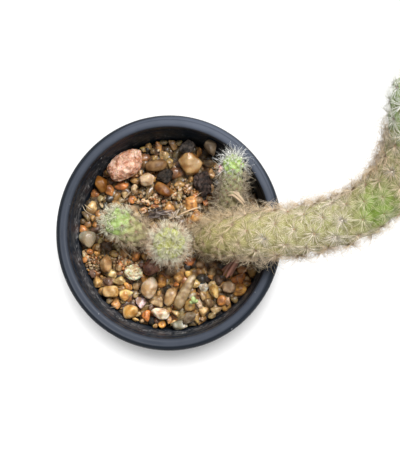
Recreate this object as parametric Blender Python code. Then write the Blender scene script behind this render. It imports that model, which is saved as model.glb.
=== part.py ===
"""A potted ladyfinger cactus: a round nursery pot, potting mix, a gravel dressing
with larger stones on it, and four cactus stems, the longest of which leans out
over the rim and turns sideways.

Metres, +Z up. The origin is the middle of the pot's underside, +X points to the
side that the long stem leans out over.
"""

import math
import random

import bmesh
import bpy
import numpy as np
from mathutils import Matrix, Vector
from mathutils.bvhtree import BVHTree
from mathutils.geometry import delaunay_2d_cdt

MM = 0.001
GAP = 0.3 * MM          # air left between two pieces that touch
MERGE = 0.001 * MM      # points closer than this are one point
CUTTER_SPARE = 6 * MM   # how far a cutter reaches past what it cuts
DROP_FROM = 120 * MM    # loose pieces are lowered from this height onto what carries them
SETTLE_STEPS = 24       # and felt for contact at this many places each way

# The pot, by its radii and heights
SEGMENTS = 48
POT_HEIGHT = 86 * MM
RIM_RADIUS = 50 * MM
RIM_DEPTH = 9 * MM
RIM_SKIRT = 1.2 * MM            # thickness of the band that hangs down outside the wall
RIM_HOLLOW = 3.5 * MM           # how far the hollow behind that band goes up
BASE_RADIUS = 34 * MM
FLOOR = 1.4 * MM
WALL = 0.9 * MM
MOUTH_RADIUS = 44.5 * MM        # inside radius at the top of the wall
WALL_TOP = 82 * MM
WALL_FOOT = 2.2 * MM
FOOT_INSIDE = 33.1 * MM         # inside radius at the foot of the wall
CHANNEL_INSIDE = 13 * MM        # the ring with the drain holes stands clear of the bench
CHANNEL_OUTSIDE = 31.5 * MM
CHANNEL_RISE = 2.4 * MM
CHANNEL_SLOPE = 1.5 * MM
FOOT_RING = 1.7 * MM            # width of the ring that the pot stands on
FOOT_ROUND = 0.8 * MM
OVAL = 0.02                     # the soft rim is this much out of round

DRAIN_HOLES = 6
DRAIN_HOLE_RADIUS = 3.5 * MM
DRAIN_CIRCLE = 22.3 * MM

# What fills the pot
MIX_TOP = 59.7 * MM
BED_BOTTOM = 60 * MM
BED_EDGE = 64.3 * MM
BED_CROWN = 68.5 * MM
BED_FALL = 4.0 * MM             # how much lower the bed lies beside the wall
PEBBLE_PITCH = 6.7 * MM
PEBBLE_RISE = 1.3 * MM
PEBBLE_VALLEY = 1.6 * MM
PEBBLE_SHOULDER = 0.6           # where a pebble's top turns down, as a share of its radius
SHOULDER_DROP = 0.22            # and how far it has come down by there, as a share of its height
PEBBLE_JITTER = 0.22
WALL_STRIP = 2.6 * MM           # no pebble's middle is nearer the wall than this

# The stems: how they are rooted, and how their tubercles and spines lie
ROOT_BOTTOM = 55 * MM
STEM_START = 69.2 * MM
ROOT_CLEARANCE = 0.5 * MM
GOLDEN_TURN = math.radians(137.50776)
AREOLE_RISE = 0.106             # rise from one areole to the next, in stem radii
EVEN_SPACING = 0.76             # which brings the nearest ones this far apart, in stem radii
TUBERCLE = 1.2 * MM
DOME_END = 2.0                  # how far the spiral climbs the dome, in stem radii as unrolled
RAYS = 4
RAY_TILT = math.radians(20)
DOME_TILT = math.radians(32)    # how much more upright the needles stand at the top of a stem
STAR_CORE = 0.85 * MM           # reach, height and depths of a star's solid middle
STAR_HEIGHT = 0.55 * MM
NOTCH_DEPTH = 0.2 * MM
NEEDLE_DEPTH = 0.32 * MM
NEEDLE_ROOT = 0.4 * MM          # half a needle's thickness where it leaves the star
NEEDLE_ROOM = 0.3 * MM          # air kept between needles, and to the stem and to other pieces
OWN_ROOM = 0.4 * MM
OTHER_ROOM = 0.5 * MM

LONG_STEM = [(14.5, -2.2, 55), (14.5, -2.2, 62), (14.5, -2.2, 69.5), (16.0, -2.5, 77), (20.1, -2.6, 83.4),
             (27.5, -2.1, 89.4), (38.0, -1.6, 95), (49.3, -1.3, 100), (64.0, 1.2, 105), (79.1, 6.0, 110),
             (92.8, 17.6, 117), (98.6, 32.8, 126), (99.2, 42.5, 134), (99.5, 49.9, 140)]
CENTRE_STEM = [(-1.8, -5.6, 55), (-1.8, -5.6, 62), (-1.8, -5.6, 69.5), (-0.6, -5.4, 80), (0.7, -5.2, 91.5)]
LEFT_STEM = [(-13.0, -1.4, 55), (-13.0, -1.4, 62), (-13.0, -1.4, 69.5), (-14.4, -0.5, 75), (-17.4, 1.4, 79.8),
             (-20.6, 3.5, 83.4)]
RIGHT_STEM = [(25.9, 10.6, 55), (25.9, 10.6, 62), (25.9, 10.6, 69.5), (26.2, 12.4, 75.5), (26.9, 16.5, 81),
              (27.5, 21.5, 86), (27.8, 26.4, 90.6)]

# name, path, radius at the root, full radius, length over which it fills out, spine length
STEMS = [
    ("stem_centre", CENTRE_STEM, 4.7, 6.0, 28, 4.3),
    ("stem_left", LEFT_STEM, 4.6, 4.9, 24, 3.8),
    ("stem_right", RIGHT_STEM, 5.3, 4.1, 26, 3.9),
    ("stem_long", LONG_STEM, 5.8, 9.0, 48, 5.8),
]

# name, middle x and y, length, width, thickness, turn in degrees, colour
STONES = [
    ("stone_pink_granite", -19.8, 30.6, 18.0, 12.0, 10.0, 35, (0.62, 0.34, 0.27)),
    ("stone_tan_big", 8.7, 31.6, 11.0, 9.0, 7.5, -60, (0.60, 0.38, 0.18)),
    ("stone_tan_oblong", -6.6, 30.5, 10.0, 5.4, 5.0, 10, (0.63, 0.49, 0.33)),
    ("stone_black_back", 7.4, 38.4, 7.2, 6.6, 5.0, 0, (0.09, 0.10, 0.12)),
    ("stone_black_front", -2.8, 25.4, 7.5, 6.0, 5.0, 20, (0.10, 0.10, 0.11)),
    ("stone_cream_facet", -10.7, 24.2, 6.9, 6.0, 5.2, 0, (0.72, 0.62, 0.47)),
    ("stone_orange_left", -31.2, 22.5, 8.0, 5.4, 5.0, -70, (0.56, 0.31, 0.12)),
    ("stone_orange_slab", -3.2, 19.6, 8.7, 4.8, 4.0, -35, (0.60, 0.33, 0.12)),
    ("stone_grey_flat", -37.6, -2.2, 8.0, 7.6, 4.0, 0, (0.45, 0.42, 0.38)),
    ("stone_tan_block", -28.9, -13.1, 8.0, 5.4, 5.4, 85, (0.58, 0.42, 0.25)),
    ("stone_cream_rough", -16.6, -16.9, 8.5, 7.6, 5.6, 0, (0.70, 0.60, 0.45)),
    ("stone_purple_brown", -8.3, -14.6, 8.7, 6.9, 5.4, 30, (0.30, 0.20, 0.20)),
    ("stone_tan_large", -9.4, -23.5, 9.7, 7.0, 6.0, 65, (0.62, 0.42, 0.22)),
    ("stone_yellow_tan", -27.0, -25.4, 7.6, 5.4, 5.0, -5, (0.66, 0.46, 0.22)),
    ("stone_orange_front", -20.0, -27.2, 6.0, 5.2, 4.6, 0, (0.63, 0.34, 0.12)),
    ("stone_amber", -18.3, -34.3, 7.2, 6.1, 5.2, 20, (0.64, 0.38, 0.12)),
    ("stone_finger", 6.3, -25.8, 17.0, 4.8, 4.6, 61, (0.60, 0.50, 0.38)),
    ("stone_tooth", -0.4, -28.0, 8.6, 4.7, 4.4, 70, (0.66, 0.50, 0.30)),
    ("stone_cream_brown", -4.8, -35.2, 8.3, 5.0, 4.6, -10, (0.68, 0.54, 0.37)),
    ("stone_green_grey", 3.4, -40.2, 7.2, 4.8, 4.4, 5, (0.36, 0.37, 0.30)),
    ("stone_olive_grey", 8.0, -36.8, 6.5, 4.8, 4.4, 25, (0.42, 0.41, 0.30)),
    ("stone_ochre", 19.2, -25.4, 6.5, 4.4, 4.2, -70, (0.62, 0.42, 0.14)),
    ("stone_pinkish_grey", 25.6, -23.4, 6.1, 5.4, 4.6, 0, (0.50, 0.40, 0.36)),
    ("stone_grey_back", 18.1, 37.4, 8.0, 5.4, 5.0, -65, (0.42, 0.38, 0.33)),
]
STONE_FACETS = 26

HUSK_TAIL = (29.0, -11.4)       # the withered flower lies between these two points
HUSK_MOUTH = (24.6, -17.8)
# share of its length, radius, and how deep its shrivelled pleats are
HUSK_PROFILE = [(0.0, 0.5, 0.0), (0.2, 1.2, 0.1), (0.42, 1.5, 0.2), (0.6, 1.1, 0.3), (0.8, 1.9, 0.45),
                (1.0, 2.4, 0.6)]
HUSK_PLEATS = 5
HUSK_TWIST = 0.8
HUSK_THROAT = 0.84              # how far along it the open mouth reaches in

STRAW_ENDS = [(3.6, 6.4), (13.4, 11.0)]
STRAW_RADIUS = 0.55 * MM


def clear_scene():
    for obj in list(bpy.data.objects):
        bpy.data.objects.remove(obj)


def make_material(name, colour, roughness, metallic=0.0):
    material = bpy.data.materials.new(name)
    material.use_nodes = True
    shader = material.node_tree.nodes["Principled BSDF"]
    shader.inputs["Base Color"].default_value = (*colour, 1)
    shader.inputs["Roughness"].default_value = roughness
    shader.inputs["Metallic"].default_value = metallic
    return material


def make_object(name, bm, material=None):
    mesh = bpy.data.meshes.new(name)
    bm.to_mesh(mesh)
    bm.free()
    if material:
        mesh.materials.append(material)
    obj = bpy.data.objects.new(name, mesh)
    bpy.context.collection.objects.link(obj)
    return obj


def soften(obj, angle=35):
    """Smooth shading, with the edges sharper than the angle left crisp."""
    obj.data.shade_smooth()
    obj.data.set_sharp_from_angle(angle=math.radians(angle))


def apply_modifiers(obj):
    """Keeps the shape that the modifiers give as the object's own mesh."""
    evaluated = obj.evaluated_get(bpy.context.evaluated_depsgraph_get())
    mesh = bpy.data.meshes.new_from_object(evaluated)
    obj.modifiers.clear()
    obj.data = mesh


def tree_of(obj):
    """The object's faces, for asking how far away they are."""
    bm = bmesh.new()
    bm.from_mesh(obj.data)
    tree = BVHTree.FromBMesh(bm)
    bm.free()
    return tree


def out_of_round(bm):
    """Squeezes along X and widens along Y, more towards the rim."""
    for vert in bm.verts:
        share = OVAL * vert.co.z / POT_HEIGHT
        vert.co.x *= 1 - share
        vert.co.y *= 1 + share


def turned(profile):
    """A profile of (radius, height) points spun round the Z axis."""
    bm = bmesh.new()
    verts = [bm.verts.new((radius, 0, height)) for radius, height in profile]
    edges = [bm.edges.new(pair) for pair in zip(verts, verts[1:])]
    bmesh.ops.spin(bm, geom=verts + edges, cent=(0, 0, 0), axis=(0, 0, 1), angle=math.tau, steps=SEGMENTS,
                   use_merge=True)
    bmesh.ops.remove_doubles(bm, verts=bm.verts, dist=MERGE)
    bmesh.ops.recalc_face_normals(bm, faces=bm.faces)
    out_of_round(bm)
    return bm


def inner_wall(height):
    """The pot's inside radius at a height, on its straight tapered wall."""
    share = (height - WALL_FOOT) / (WALL_TOP - WALL_FOOT)
    return FOOT_INSIDE + share * (MOUTH_RADIUS - FOOT_INSIDE)


def floor_inside():
    """The pot's floor from its middle outwards: a disc, the raised drain channel, the foot ring."""
    rise = FLOOR + CHANNEL_RISE
    slope = CHANNEL_SLOPE
    near, far = CHANNEL_INSIDE + 0.4 * slope, CHANNEL_OUTSIDE - 0.3 * slope
    return [(0, FLOOR), (near, FLOOR), (near + slope, rise), (far - slope, rise), (far, FLOOR),
            (FOOT_INSIDE - FOOT_ROUND, FLOOR), (FOOT_INSIDE, WALL_FOOT)]


def floor_outside():
    """The same floor from below: what touches the bench is the middle disc and the foot ring."""
    near, far, slope = CHANNEL_INSIDE, CHANNEL_OUTSIDE, CHANNEL_SLOPE
    return [(0, 0), (near, 0), (near + slope, CHANNEL_RISE), (far - slope, CHANNEL_RISE), (far, 0),
            (far + FOOT_RING, 0), (BASE_RADIUS, FOOT_ROUND)]


def rolled_rim():
    """From the top of the outer wall, out under the rim band, over its round top and back in."""
    skirt = POT_HEIGHT - RIM_DEPTH
    hollow = skirt + RIM_HOLLOW
    over_the_top = [(0, 3), (0.7, 1.1), (2.4, 0), (4, 0.4), (5.1, 1.8)]     # mm inwards and down
    return [(MOUTH_RADIUS + WALL, hollow), (RIM_RADIUS - RIM_SKIRT, hollow), (RIM_RADIUS - RIM_SKIRT, skirt),
            (RIM_RADIUS, skirt), *((RIM_RADIUS - inwards * MM, POT_HEIGHT - down * MM)
                                   for inwards, down in over_the_top), (MOUTH_RADIUS, WALL_TOP)]


def add_cylinder(bm, sides, radius, height, place):
    bmesh.ops.create_cone(bm, cap_ends=True, segments=sides, radius1=radius, radius2=radius, depth=height,
                          matrix=place)


def drain_cutters():
    """Upright cylinders in a ring, joined in one cutting shape."""
    bm = bmesh.new()
    for i in range(DRAIN_HOLES):
        turn = Matrix.Rotation(math.tau * (i + 0.5) / DRAIN_HOLES, 4, "Z")
        place = turn @ Matrix.Translation((DRAIN_CIRCLE, 0, CHANNEL_RISE))
        add_cylinder(bm, 12, DRAIN_HOLE_RADIUS, 2 * CUTTER_SPARE, place)
    return hide_cutter(make_object("drain_cutters", bm))


def hide_cutter(cutter):
    cutter.hide_render = True
    cutter.display_type = "WIRE"
    return cutter


def cut(obj, cutter):
    boolean = obj.modifiers.new("holes", "BOOLEAN")
    boolean.operation = "DIFFERENCE"
    boolean.solver = "EXACT"
    boolean.object = cutter


def build_pot():
    profile = floor_outside() + rolled_rim() + floor_inside()[::-1]
    plastic = make_material("pot_plastic", (0.035, 0.040, 0.050), 0.45)
    pot = make_object("pot", turned(profile), plastic)
    cut(pot, drain_cutters())
    apply_modifiers(pot)
    soften(pot)
    return pot


def build_mix():
    """The plug of potting mix: it stands on the raised drain channel, a hair clear of the wall."""
    bottom, top = FLOOR + CHANNEL_RISE + GAP, MIX_TOP
    profile = [(0, bottom), (inner_wall(bottom) - GAP, bottom), (inner_wall(top) - GAP, top), (0, top)]
    soil = make_material("potting_mix", (0.045, 0.030, 0.020), 0.95)
    return make_object("potting_mix", turned(profile), soil)


def bed_height(x, y):
    """The gravel's level: crowned in the middle and lower beside the wall."""
    return BED_CROWN - BED_FALL * (x * x + y * y) / MOUTH_RADIUS ** 2


def pebble_middles(rng):
    """A jittered triangular grid of points that keeps clear of the wall."""
    reach = inner_wall(BED_EDGE) - WALL_STRIP
    row = PEBBLE_PITCH * math.sqrt(3) / 2
    count = math.ceil(reach / row) + 1
    middles = []
    for j in range(-count, count + 1):
        for i in range(-count - 1, count + 2):
            x = (i + 0.5 * (j % 2) + rng.uniform(-PEBBLE_JITTER, PEBBLE_JITTER)) * PEBBLE_PITCH
            y = j * row + rng.uniform(-PEBBLE_JITTER, PEBBLE_JITTER) * PEBBLE_PITCH
            if math.hypot(x, y) < reach:
                middles.append((x, y))
    return middles


def build_bed():
    """The gravel dressing as one bed, with a raised pebble in each cell round a grid point."""
    rng = random.Random(11)
    bm = bmesh.new()

    def ring(height):
        radius = inner_wall(height) - GAP * 1.1
        turns = [math.tau * i / SEGMENTS for i in range(SEGMENTS)]
        return [(radius * math.cos(turn), radius * math.sin(turn)) for turn in turns]

    rim = [bm.verts.new((x, y, BED_EDGE)) for x, y in ring(BED_EDGE)]
    foot = [bm.verts.new((x, y, BED_BOTTOM)) for x, y in ring(BED_BOTTOM)]
    bm.faces.new(foot[::-1])
    for i in range(SEGMENTS):
        j = (i + 1) % SEGMENTS
        bm.faces.new((foot[i], foot[j], rim[j], rim[i]))

    middles = pebble_middles(rng)
    flat = [Vector(point) for point in ring(BED_EDGE) + middles]
    triangles = delaunay_2d_cdt(flat, [], [], 0, MERGE)[2]
    tops = list(rim)
    for x, y in middles:
        tops.append(bm.verts.new((x, y, bed_height(x, y) + PEBBLE_RISE * rng.uniform(0.4, 1.6))))

    valleys, triangles_at = [], {}
    for t, (a, b, c) in enumerate(triangles):
        x, y = (flat[a] + flat[b] + flat[c]) / 3
        valleys.append(bm.verts.new((x, y, bed_height(x, y) - PEBBLE_VALLEY * rng.uniform(0.7, 1.2))))
        for edge in ((a, b), (b, c), (c, a)):
            triangles_at.setdefault(tuple(sorted(edge)), []).append((t, edge))

    shoulders = {}

    def shoulder(middle, t):
        if (middle, t) not in shoulders:
            top, valley = tops[middle].co, valleys[t].co
            place = top.lerp(valley, PEBBLE_SHOULDER)
            place.z = top.z - SHOULDER_DROP * (top.z - valley.z) + rng.uniform(-0.15, 0.15) * MM
            shoulders[middle, t] = bm.verts.new(place)
        return shoulders[middle, t]

    def flank(middle, left, right):
        """The part of one cell between two valley points, left then right seen from the middle."""
        if middle < SEGMENTS:
            bm.faces.new((tops[middle], valleys[right], valleys[left]))
            return
        near_right, near_left = shoulder(middle, right), shoulder(middle, left)
        bm.faces.new((tops[middle], near_right, near_left))
        bm.faces.new((near_right, valleys[right], valleys[left]))
        bm.faces.new((near_right, valleys[left], near_left))

    for sides in triangles_at.values():
        (t, (a, b)) = sides[0]
        if len(sides) == 1:
            bm.faces.new((tops[a], tops[b], valleys[t]))
            continue
        other = sides[1][0]
        flank(a, t, other)
        flank(b, other, t)

    bmesh.ops.triangulate(bm, faces=[face for face in bm.faces if len(face.verts) == 4])
    out_of_round(bm)
    gravel = make_material("gravel", (0.42, 0.28, 0.15), 0.75)
    return make_object("gravel_bed", bm, gravel)


def root_cutters():
    """Upright cylinders a little wider than each stem's root, for plain holes to stand in."""
    bm = bmesh.new()
    for name, path, root_radius, *rest in STEMS:
        x, y, bottom = path[0]
        radius = root_radius * MM + ROOT_CLEARANCE
        low = bottom * MM - GAP
        high = BED_CROWN + CUTTER_SPARE
        place = Matrix.Translation((x * MM, y * MM, (low + high) / 2))
        add_cylinder(bm, 16, radius, high - low, place)
    return hide_cutter(make_object("root_cutters", bm))


def settle(bm, trees):
    """Lowers a loose piece until it lies a hair above what is under it."""
    high = 2 * DROP_FROM
    own = BVHTree.FromBMesh(bm)
    box = [(min(v.co[k] for v in bm.verts), max(v.co[k] for v in bm.verts)) for k in (0, 1)]
    fall = high
    for i in range(SETTLE_STEPS + 1):
        for j in range(SETTLE_STEPS + 1):
            x = box[0][0] + (box[0][1] - box[0][0]) * i / SETTLE_STEPS
            y = box[1][0] + (box[1][1] - box[1][0]) * j / SETTLE_STEPS
            under = own.ray_cast(Vector((x, y, -high)), Vector((0, 0, 1)))[0]
            if under is None:
                continue
            for tree in trees:
                ground = tree.ray_cast(Vector((x, y, high)), Vector((0, 0, -1)))[0]
                if ground is not None:
                    fall = min(fall, under.z - ground.z)
    bmesh.ops.translate(bm, verts=bm.verts, vec=(0, 0, GAP - fall))


def build_stone(name, x, y, length, width, thickness, turn, colour, trees):
    """A water-worn stone: the hull of points spread evenly over an uneven ellipsoid."""
    rng = random.Random(name)
    bm = bmesh.new()
    for i in range(STONE_FACETS):
        z = 1 - (2 * i + 1) / STONE_FACETS
        around = i * GOLDEN_TURN + rng.uniform(-0.2, 0.2)
        ring = math.sqrt(1 - z * z)
        worn = rng.uniform(0.88, 1.0)
        point = Vector((ring * math.cos(around), ring * math.sin(around), z)) * worn
        bm.verts.new((point.x * length * MM / 2, point.y * width * MM / 2, point.z * thickness * MM / 2))
    hull = bmesh.ops.convex_hull(bm, input=bm.verts)
    inside = [item for item in hull["geom_interior"] if isinstance(item, bmesh.types.BMVert)]
    bmesh.ops.delete(bm, geom=inside, context="VERTS")
    bmesh.ops.recalc_face_normals(bm, faces=bm.faces)
    place = Matrix.Translation((x * MM, y * MM, DROP_FROM)) @ Matrix.Rotation(math.radians(turn), 4, "Z")
    bmesh.ops.transform(bm, matrix=place, verts=bm.verts)
    settle(bm, trees)
    return make_object(name, bm, make_material(name, colour, 0.6))


def build_husk(trees):
    """A shrivelled flower: a pleated tube, open and ragged at the mouth, pinched at the tail."""
    tail, mouth = Vector((*HUSK_TAIL, 0)) * MM, Vector((*HUSK_MOUTH, 0)) * MM
    along = mouth - tail
    turn = along.to_track_quat("Z", "Y").to_matrix()
    sides = HUSK_PLEATS * 2
    bm = bmesh.new()
    rings = []
    for share, radius, pleat in HUSK_PROFILE:
        ring = []
        for i in range(sides):
            around = math.tau * i / sides + share * HUSK_TWIST
            reach = radius * MM * (1 - pleat * (i % 2))
            lip = (0.12 if i % 2 else -0.04) * along.length * (share == 1.0)
            local = Vector((reach * math.cos(around), reach * math.sin(around), share * along.length - lip))
            ring.append(bm.verts.new(tail + turn @ local))
        rings.append(ring)
    for low, high in zip(rings, rings[1:]):
        for i in range(sides):
            j = (i + 1) % sides
            bm.faces.new((low[i], low[j], high[j], high[i]))
    bm.faces.new(rings[0][::-1])
    throat = bm.verts.new(tail + turn @ Vector((0, 0, HUSK_THROAT * along.length)))
    for i in range(sides):
        bm.faces.new((rings[-1][i], rings[-1][(i + 1) % sides], throat))
    bmesh.ops.triangulate(bm, faces=bm.faces)
    bmesh.ops.recalc_face_normals(bm, faces=bm.faces)
    bmesh.ops.translate(bm, verts=bm.verts, vec=(0, 0, DROP_FROM))
    settle(bm, trees)
    return make_object("withered_flower", bm, make_material("withered_flower", (0.20, 0.10, 0.06), 0.85))


def build_straw(trees):
    """A dry straw, thin and five sided, lying across the gravel."""
    a, b = (Vector((*end, 0)) * MM for end in STRAW_ENDS)
    along = b - a
    turn = along.to_track_quat("Z", "Y").to_matrix().to_4x4()
    place = Matrix.Translation((a + b) / 2 + Vector((0, 0, DROP_FROM))) @ turn
    bm = bmesh.new()
    bmesh.ops.create_cone(bm, cap_ends=True, segments=5, radius1=STRAW_RADIUS, radius2=STRAW_RADIUS * 0.6,
                          depth=along.length, matrix=place)
    settle(bm, trees)
    return make_object("dry_straw", bm, make_material("dry_straw", (0.62, 0.48, 0.33), 0.8))


class Stem:
    """A stem's centre line, its frames along it and its unrolled height, with a dome at the end.

    Heights along the stem are unrolled: one unit is one local radius, so a spiral of
    even steps keeps the same pattern however thick the stem is. Past the end of the
    centre line the same spiral climbs the dome, shrinking towards its top as a map
    that keeps angles does.
    """

    def __init__(self, name, path, root_radius, full_radius, fill_out, spine):
        self.name = name
        self.root_radius = root_radius * MM
        self.spine = spine * MM
        self.points = self.smooth(np.array(path, dtype=float) * MM)
        steps = np.linalg.norm(np.diff(self.points, axis=0), axis=1)
        self.length = np.concatenate([[0], np.cumsum(steps)])
        start = np.interp(STEM_START, self.points[:, 2], self.length)
        share = np.clip((self.length - start) / (fill_out * MM), 0, 1)
        swell = share * share * (3 - 2 * share)
        self.radius = (root_radius + (full_radius - root_radius) * swell) * MM
        rise = np.concatenate([[0], np.cumsum(steps / (0.5 * (self.radius[1:] + self.radius[:-1])))])
        self.unrolled = rise - np.interp(start, self.length, rise)
        self.dome_start = self.unrolled[-1]
        self.tangent, self.side, self.front = self.frames()
        self.areoles = range(8, int((self.dome_start + DOME_END) / AREOLE_RISE))

    @staticmethod
    def smooth(points, samples=24):
        """A curve through the points, each stretch bent by its neighbours (Catmull-Rom)."""
        before = np.vstack([2 * points[0] - points[1], points[:-2]])
        after = np.vstack([points[2:], 2 * points[-1] - points[-2]])
        t = np.linspace(0, 1, samples, endpoint=False)[None, :, None]
        p0, p1, p2, p3 = (p[:, None, :] for p in (before, points[:-1], points[1:], after))
        curve = 0.5 * (2 * p1 + (p2 - p0) * t + (2 * p0 - 5 * p1 + 4 * p2 - p3) * t ** 2
                       + (3 * p1 - p0 - 3 * p2 + p3) * t ** 3)
        return np.vstack([curve.reshape(-1, 3), points[-1:]])

    def frames(self):
        """A tangent and two normals at each point, carried along without twisting."""
        tangent = np.gradient(self.points, self.length, axis=0)
        tangent /= np.linalg.norm(tangent, axis=1)[:, None]
        side = np.zeros_like(tangent)
        current = np.array([1.0, 0.0, 0.0])
        for i, direction in enumerate(tangent):
            current = current - direction * (current @ direction)
            current /= np.linalg.norm(current)
            side[i] = current
        return tangent, side, np.cross(tangent, side)

    def at(self, height, table):
        """A value of the table, one row for each point, at an unrolled height."""
        return np.array([np.interp(height, self.unrolled, column) for column in table.T])

    def climb(self, height):
        """How far up the dome, as an angle, an unrolled height past its start is."""
        past = max(0.0, height - self.dome_start)
        return 2 * math.atan(math.exp(past)) - math.pi / 2

    def surface(self, around, height, proud=0.0):
        """Point and outward normal at an angle round the stem and an unrolled height."""
        radius = float(np.interp(height, self.unrolled, self.radius))
        climb = self.climb(height)
        side, front = self.at(height, self.side), self.at(height, self.front)
        radial = math.cos(around) * side + math.sin(around) * front
        normal = math.cos(climb) * radial + math.sin(climb) * self.at(height, self.tangent)
        normal /= np.linalg.norm(normal)
        return self.at(height, self.points) + normal * (radius + proud), normal

    def shrink(self, i):
        """The size of an areole on the dome, as a share of its size on the stem."""
        return max(0.3, math.cos(self.climb(i * AREOLE_RISE)))

    def crowding(self, i):
        """Under 1 on the inside of a bend, where the areoles are closer together than elsewhere."""
        top = self.areole(i)[0]
        nearest = min(np.linalg.norm(self.areole(i + step)[0] - top) for step in (-8, -5, -3, 3, 5, 8))
        radius = np.interp(i * AREOLE_RISE, self.unrolled, self.radius)
        return min(1.0, nearest / (EVEN_SPACING * radius * self.shrink(i)))

    def areole(self, i):
        """The top of a tubercle, its outward normal and the directions across and along the stem."""
        around, height = i * GOLDEN_TURN, i * AREOLE_RISE
        top, normal = self.surface(around, height, TUBERCLE * (0.45 + 0.55 * self.shrink(i)))
        uphill = self.surface(around, height + 0.05)[0] - self.surface(around, height - 0.05)[0]
        uphill -= normal * (uphill @ normal)
        uphill /= np.linalg.norm(uphill)
        return top, normal, np.cross(uphill, normal), uphill

    @staticmethod
    def ring(i):
        """The six valley points round an areole: each is where areoles j, j + 8 and j + 3 or j + 5 meet."""
        return [(3, i), (5, i), (3, i - 3), (5, i - 8), (3, i - 8), (5, i - 5)]

    @staticmethod
    def valley_turn(valley):
        """The angle midway between the three areoles that meet at a valley point."""
        kind, i = valley
        turns = [(step * GOLDEN_TURN + math.pi) % math.tau - math.pi for step in (kind, 8)]
        return i * GOLDEN_TURN + sum(turns) / 3

    def valley_point(self, valley):
        kind, i = valley
        return self.surface(self.valley_turn(valley), (i + (kind + 8) / 3) * AREOLE_RISE)[0]

    def bare_tree(self):
        """The stem without its needles: a cone over each ring of valleys, and a tube for the root."""
        points, faces = [], []
        for i in self.areoles:
            first = len(points)
            top, normal = self.areole(i)[:2]
            points += [self.valley_point(valley) for valley in self.ring(i)] + [top + normal * STAR_HEIGHT]
            faces += [(first + k, first + (k + 1) % 6, first + 6) for k in range(6)]
        heights = np.linspace(self.unrolled[0], self.ring(8)[0][1] * AREOLE_RISE, 8)
        turns = np.linspace(0, math.tau, 14, endpoint=False)
        first = len(points)
        points += [self.surface(turn, height)[0] for height in heights for turn in turns]
        count = len(turns)
        for row in range(len(heights) - 1):
            for k in range(count):
                low, high = first + row * count, first + (row + 1) * count
                faces.append((low + k, low + (k + 1) % count, high + (k + 1) % count, high + k))
        return BVHTree.FromPolygons([Vector(point) for point in points], faces)


def rising(ring, start=None):
    """A closed walk of (angle, vertex), turned and unwrapped so that its angles rise once round."""
    angles = [angle for angle, vert in ring]
    steps = [(b - a + math.pi) % math.tau - math.pi for a, b in zip(angles, angles[1:] + angles[:1])]
    if sum(steps) < 0:
        return rising(ring[::-1], start)
    if start is None:
        first = 0
    else:
        first = min(range(len(ring)), key=lambda k: abs((angles[k] - start + math.pi) % math.tau - math.pi))
    angle = angles[first] if start is None else start + (angles[first] - start + math.pi) % math.tau - math.pi
    result, highest = [], angle
    for k in range(len(ring)):
        place = (first + k) % len(ring)
        highest = max(highest, angle)
        result.append((highest, ring[place][1]))
        angle += steps[place]
    return result


def stitch(bm, outer, inner):
    """Triangles between two closed walks of (angle, vertex) round the same middle."""
    outer = rising(outer)
    inner = rising(inner, outer[0][0])
    i = j = 0

    def next_angle(ring, k):
        return ring[(k + 1) % len(ring)][0] + math.tau * ((k + 1) // len(ring))

    while i < len(outer) or j < len(inner):
        out, near = outer[i % len(outer)][1], inner[j % len(inner)][1]
        if j == len(inner) or (i < len(outer) and next_angle(outer, i) <= next_angle(inner, j)):
            bm.faces.new((out, outer[(i + 1) % len(outer)][1], near))
            i += 1
        else:
            bm.faces.new((out, inner[(j + 1) % len(inner)][1], near))
            j += 1


class Needles:
    """Remembers the needles made so far, and says how long a new one may be."""

    def __init__(self, own_tree, other_trees):
        self.own_tree = own_tree
        self.other_trees = other_trees
        self.roots = np.zeros((0, 3))
        self.tips = np.zeros((0, 3))

    def clear(self, root, tip):
        """Whether a needle from root to tip stays clear of all that is there already."""
        for share in np.linspace(0.16, 1.0, 7):
            point = root + (tip - root) * share
            thick = NEEDLE_ROOT * (1 - share)
            over_flank = share > 0.29
            if over_flank and self.own_tree.find_nearest(Vector(point), OWN_ROOM + thick)[0] is not None:
                return False
            for tree in self.other_trees:
                if tree.find_nearest(Vector(point), OTHER_ROOM + thick)[0] is not None:
                    return False
            if len(self.roots):
                along = self.tips - self.roots
                where = np.sum((point - self.roots) * along, axis=1) / np.sum(along * along, axis=1)
                where = np.clip(where, 0, 1)
                gap = np.linalg.norm(point - self.roots - where[:, None] * along, axis=1)
                if np.any(gap < NEEDLE_ROOM + thick + 1.4 * NEEDLE_ROOT * (1 - where)):
                    return False
        return True

    def fit(self, root, directions, length):
        """Which of the directions takes the longest clear needle up to the length, and its tip."""
        for share in (1.0, 0.92, 0.84, 0.76, 0.68, 0.6, 0.5, 0.42, 0.34, 0.28, 0.22):
            for k, direction in enumerate(directions):
                tip = root + direction * length * share
                if self.clear(root, tip):
                    return k, tip
        return 0, root + directions[0] * length * 0.2

    def remember(self, root, tips):
        self.roots = np.vstack([self.roots, [root] * len(tips)])
        self.tips = np.vstack([self.tips, tips])


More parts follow.
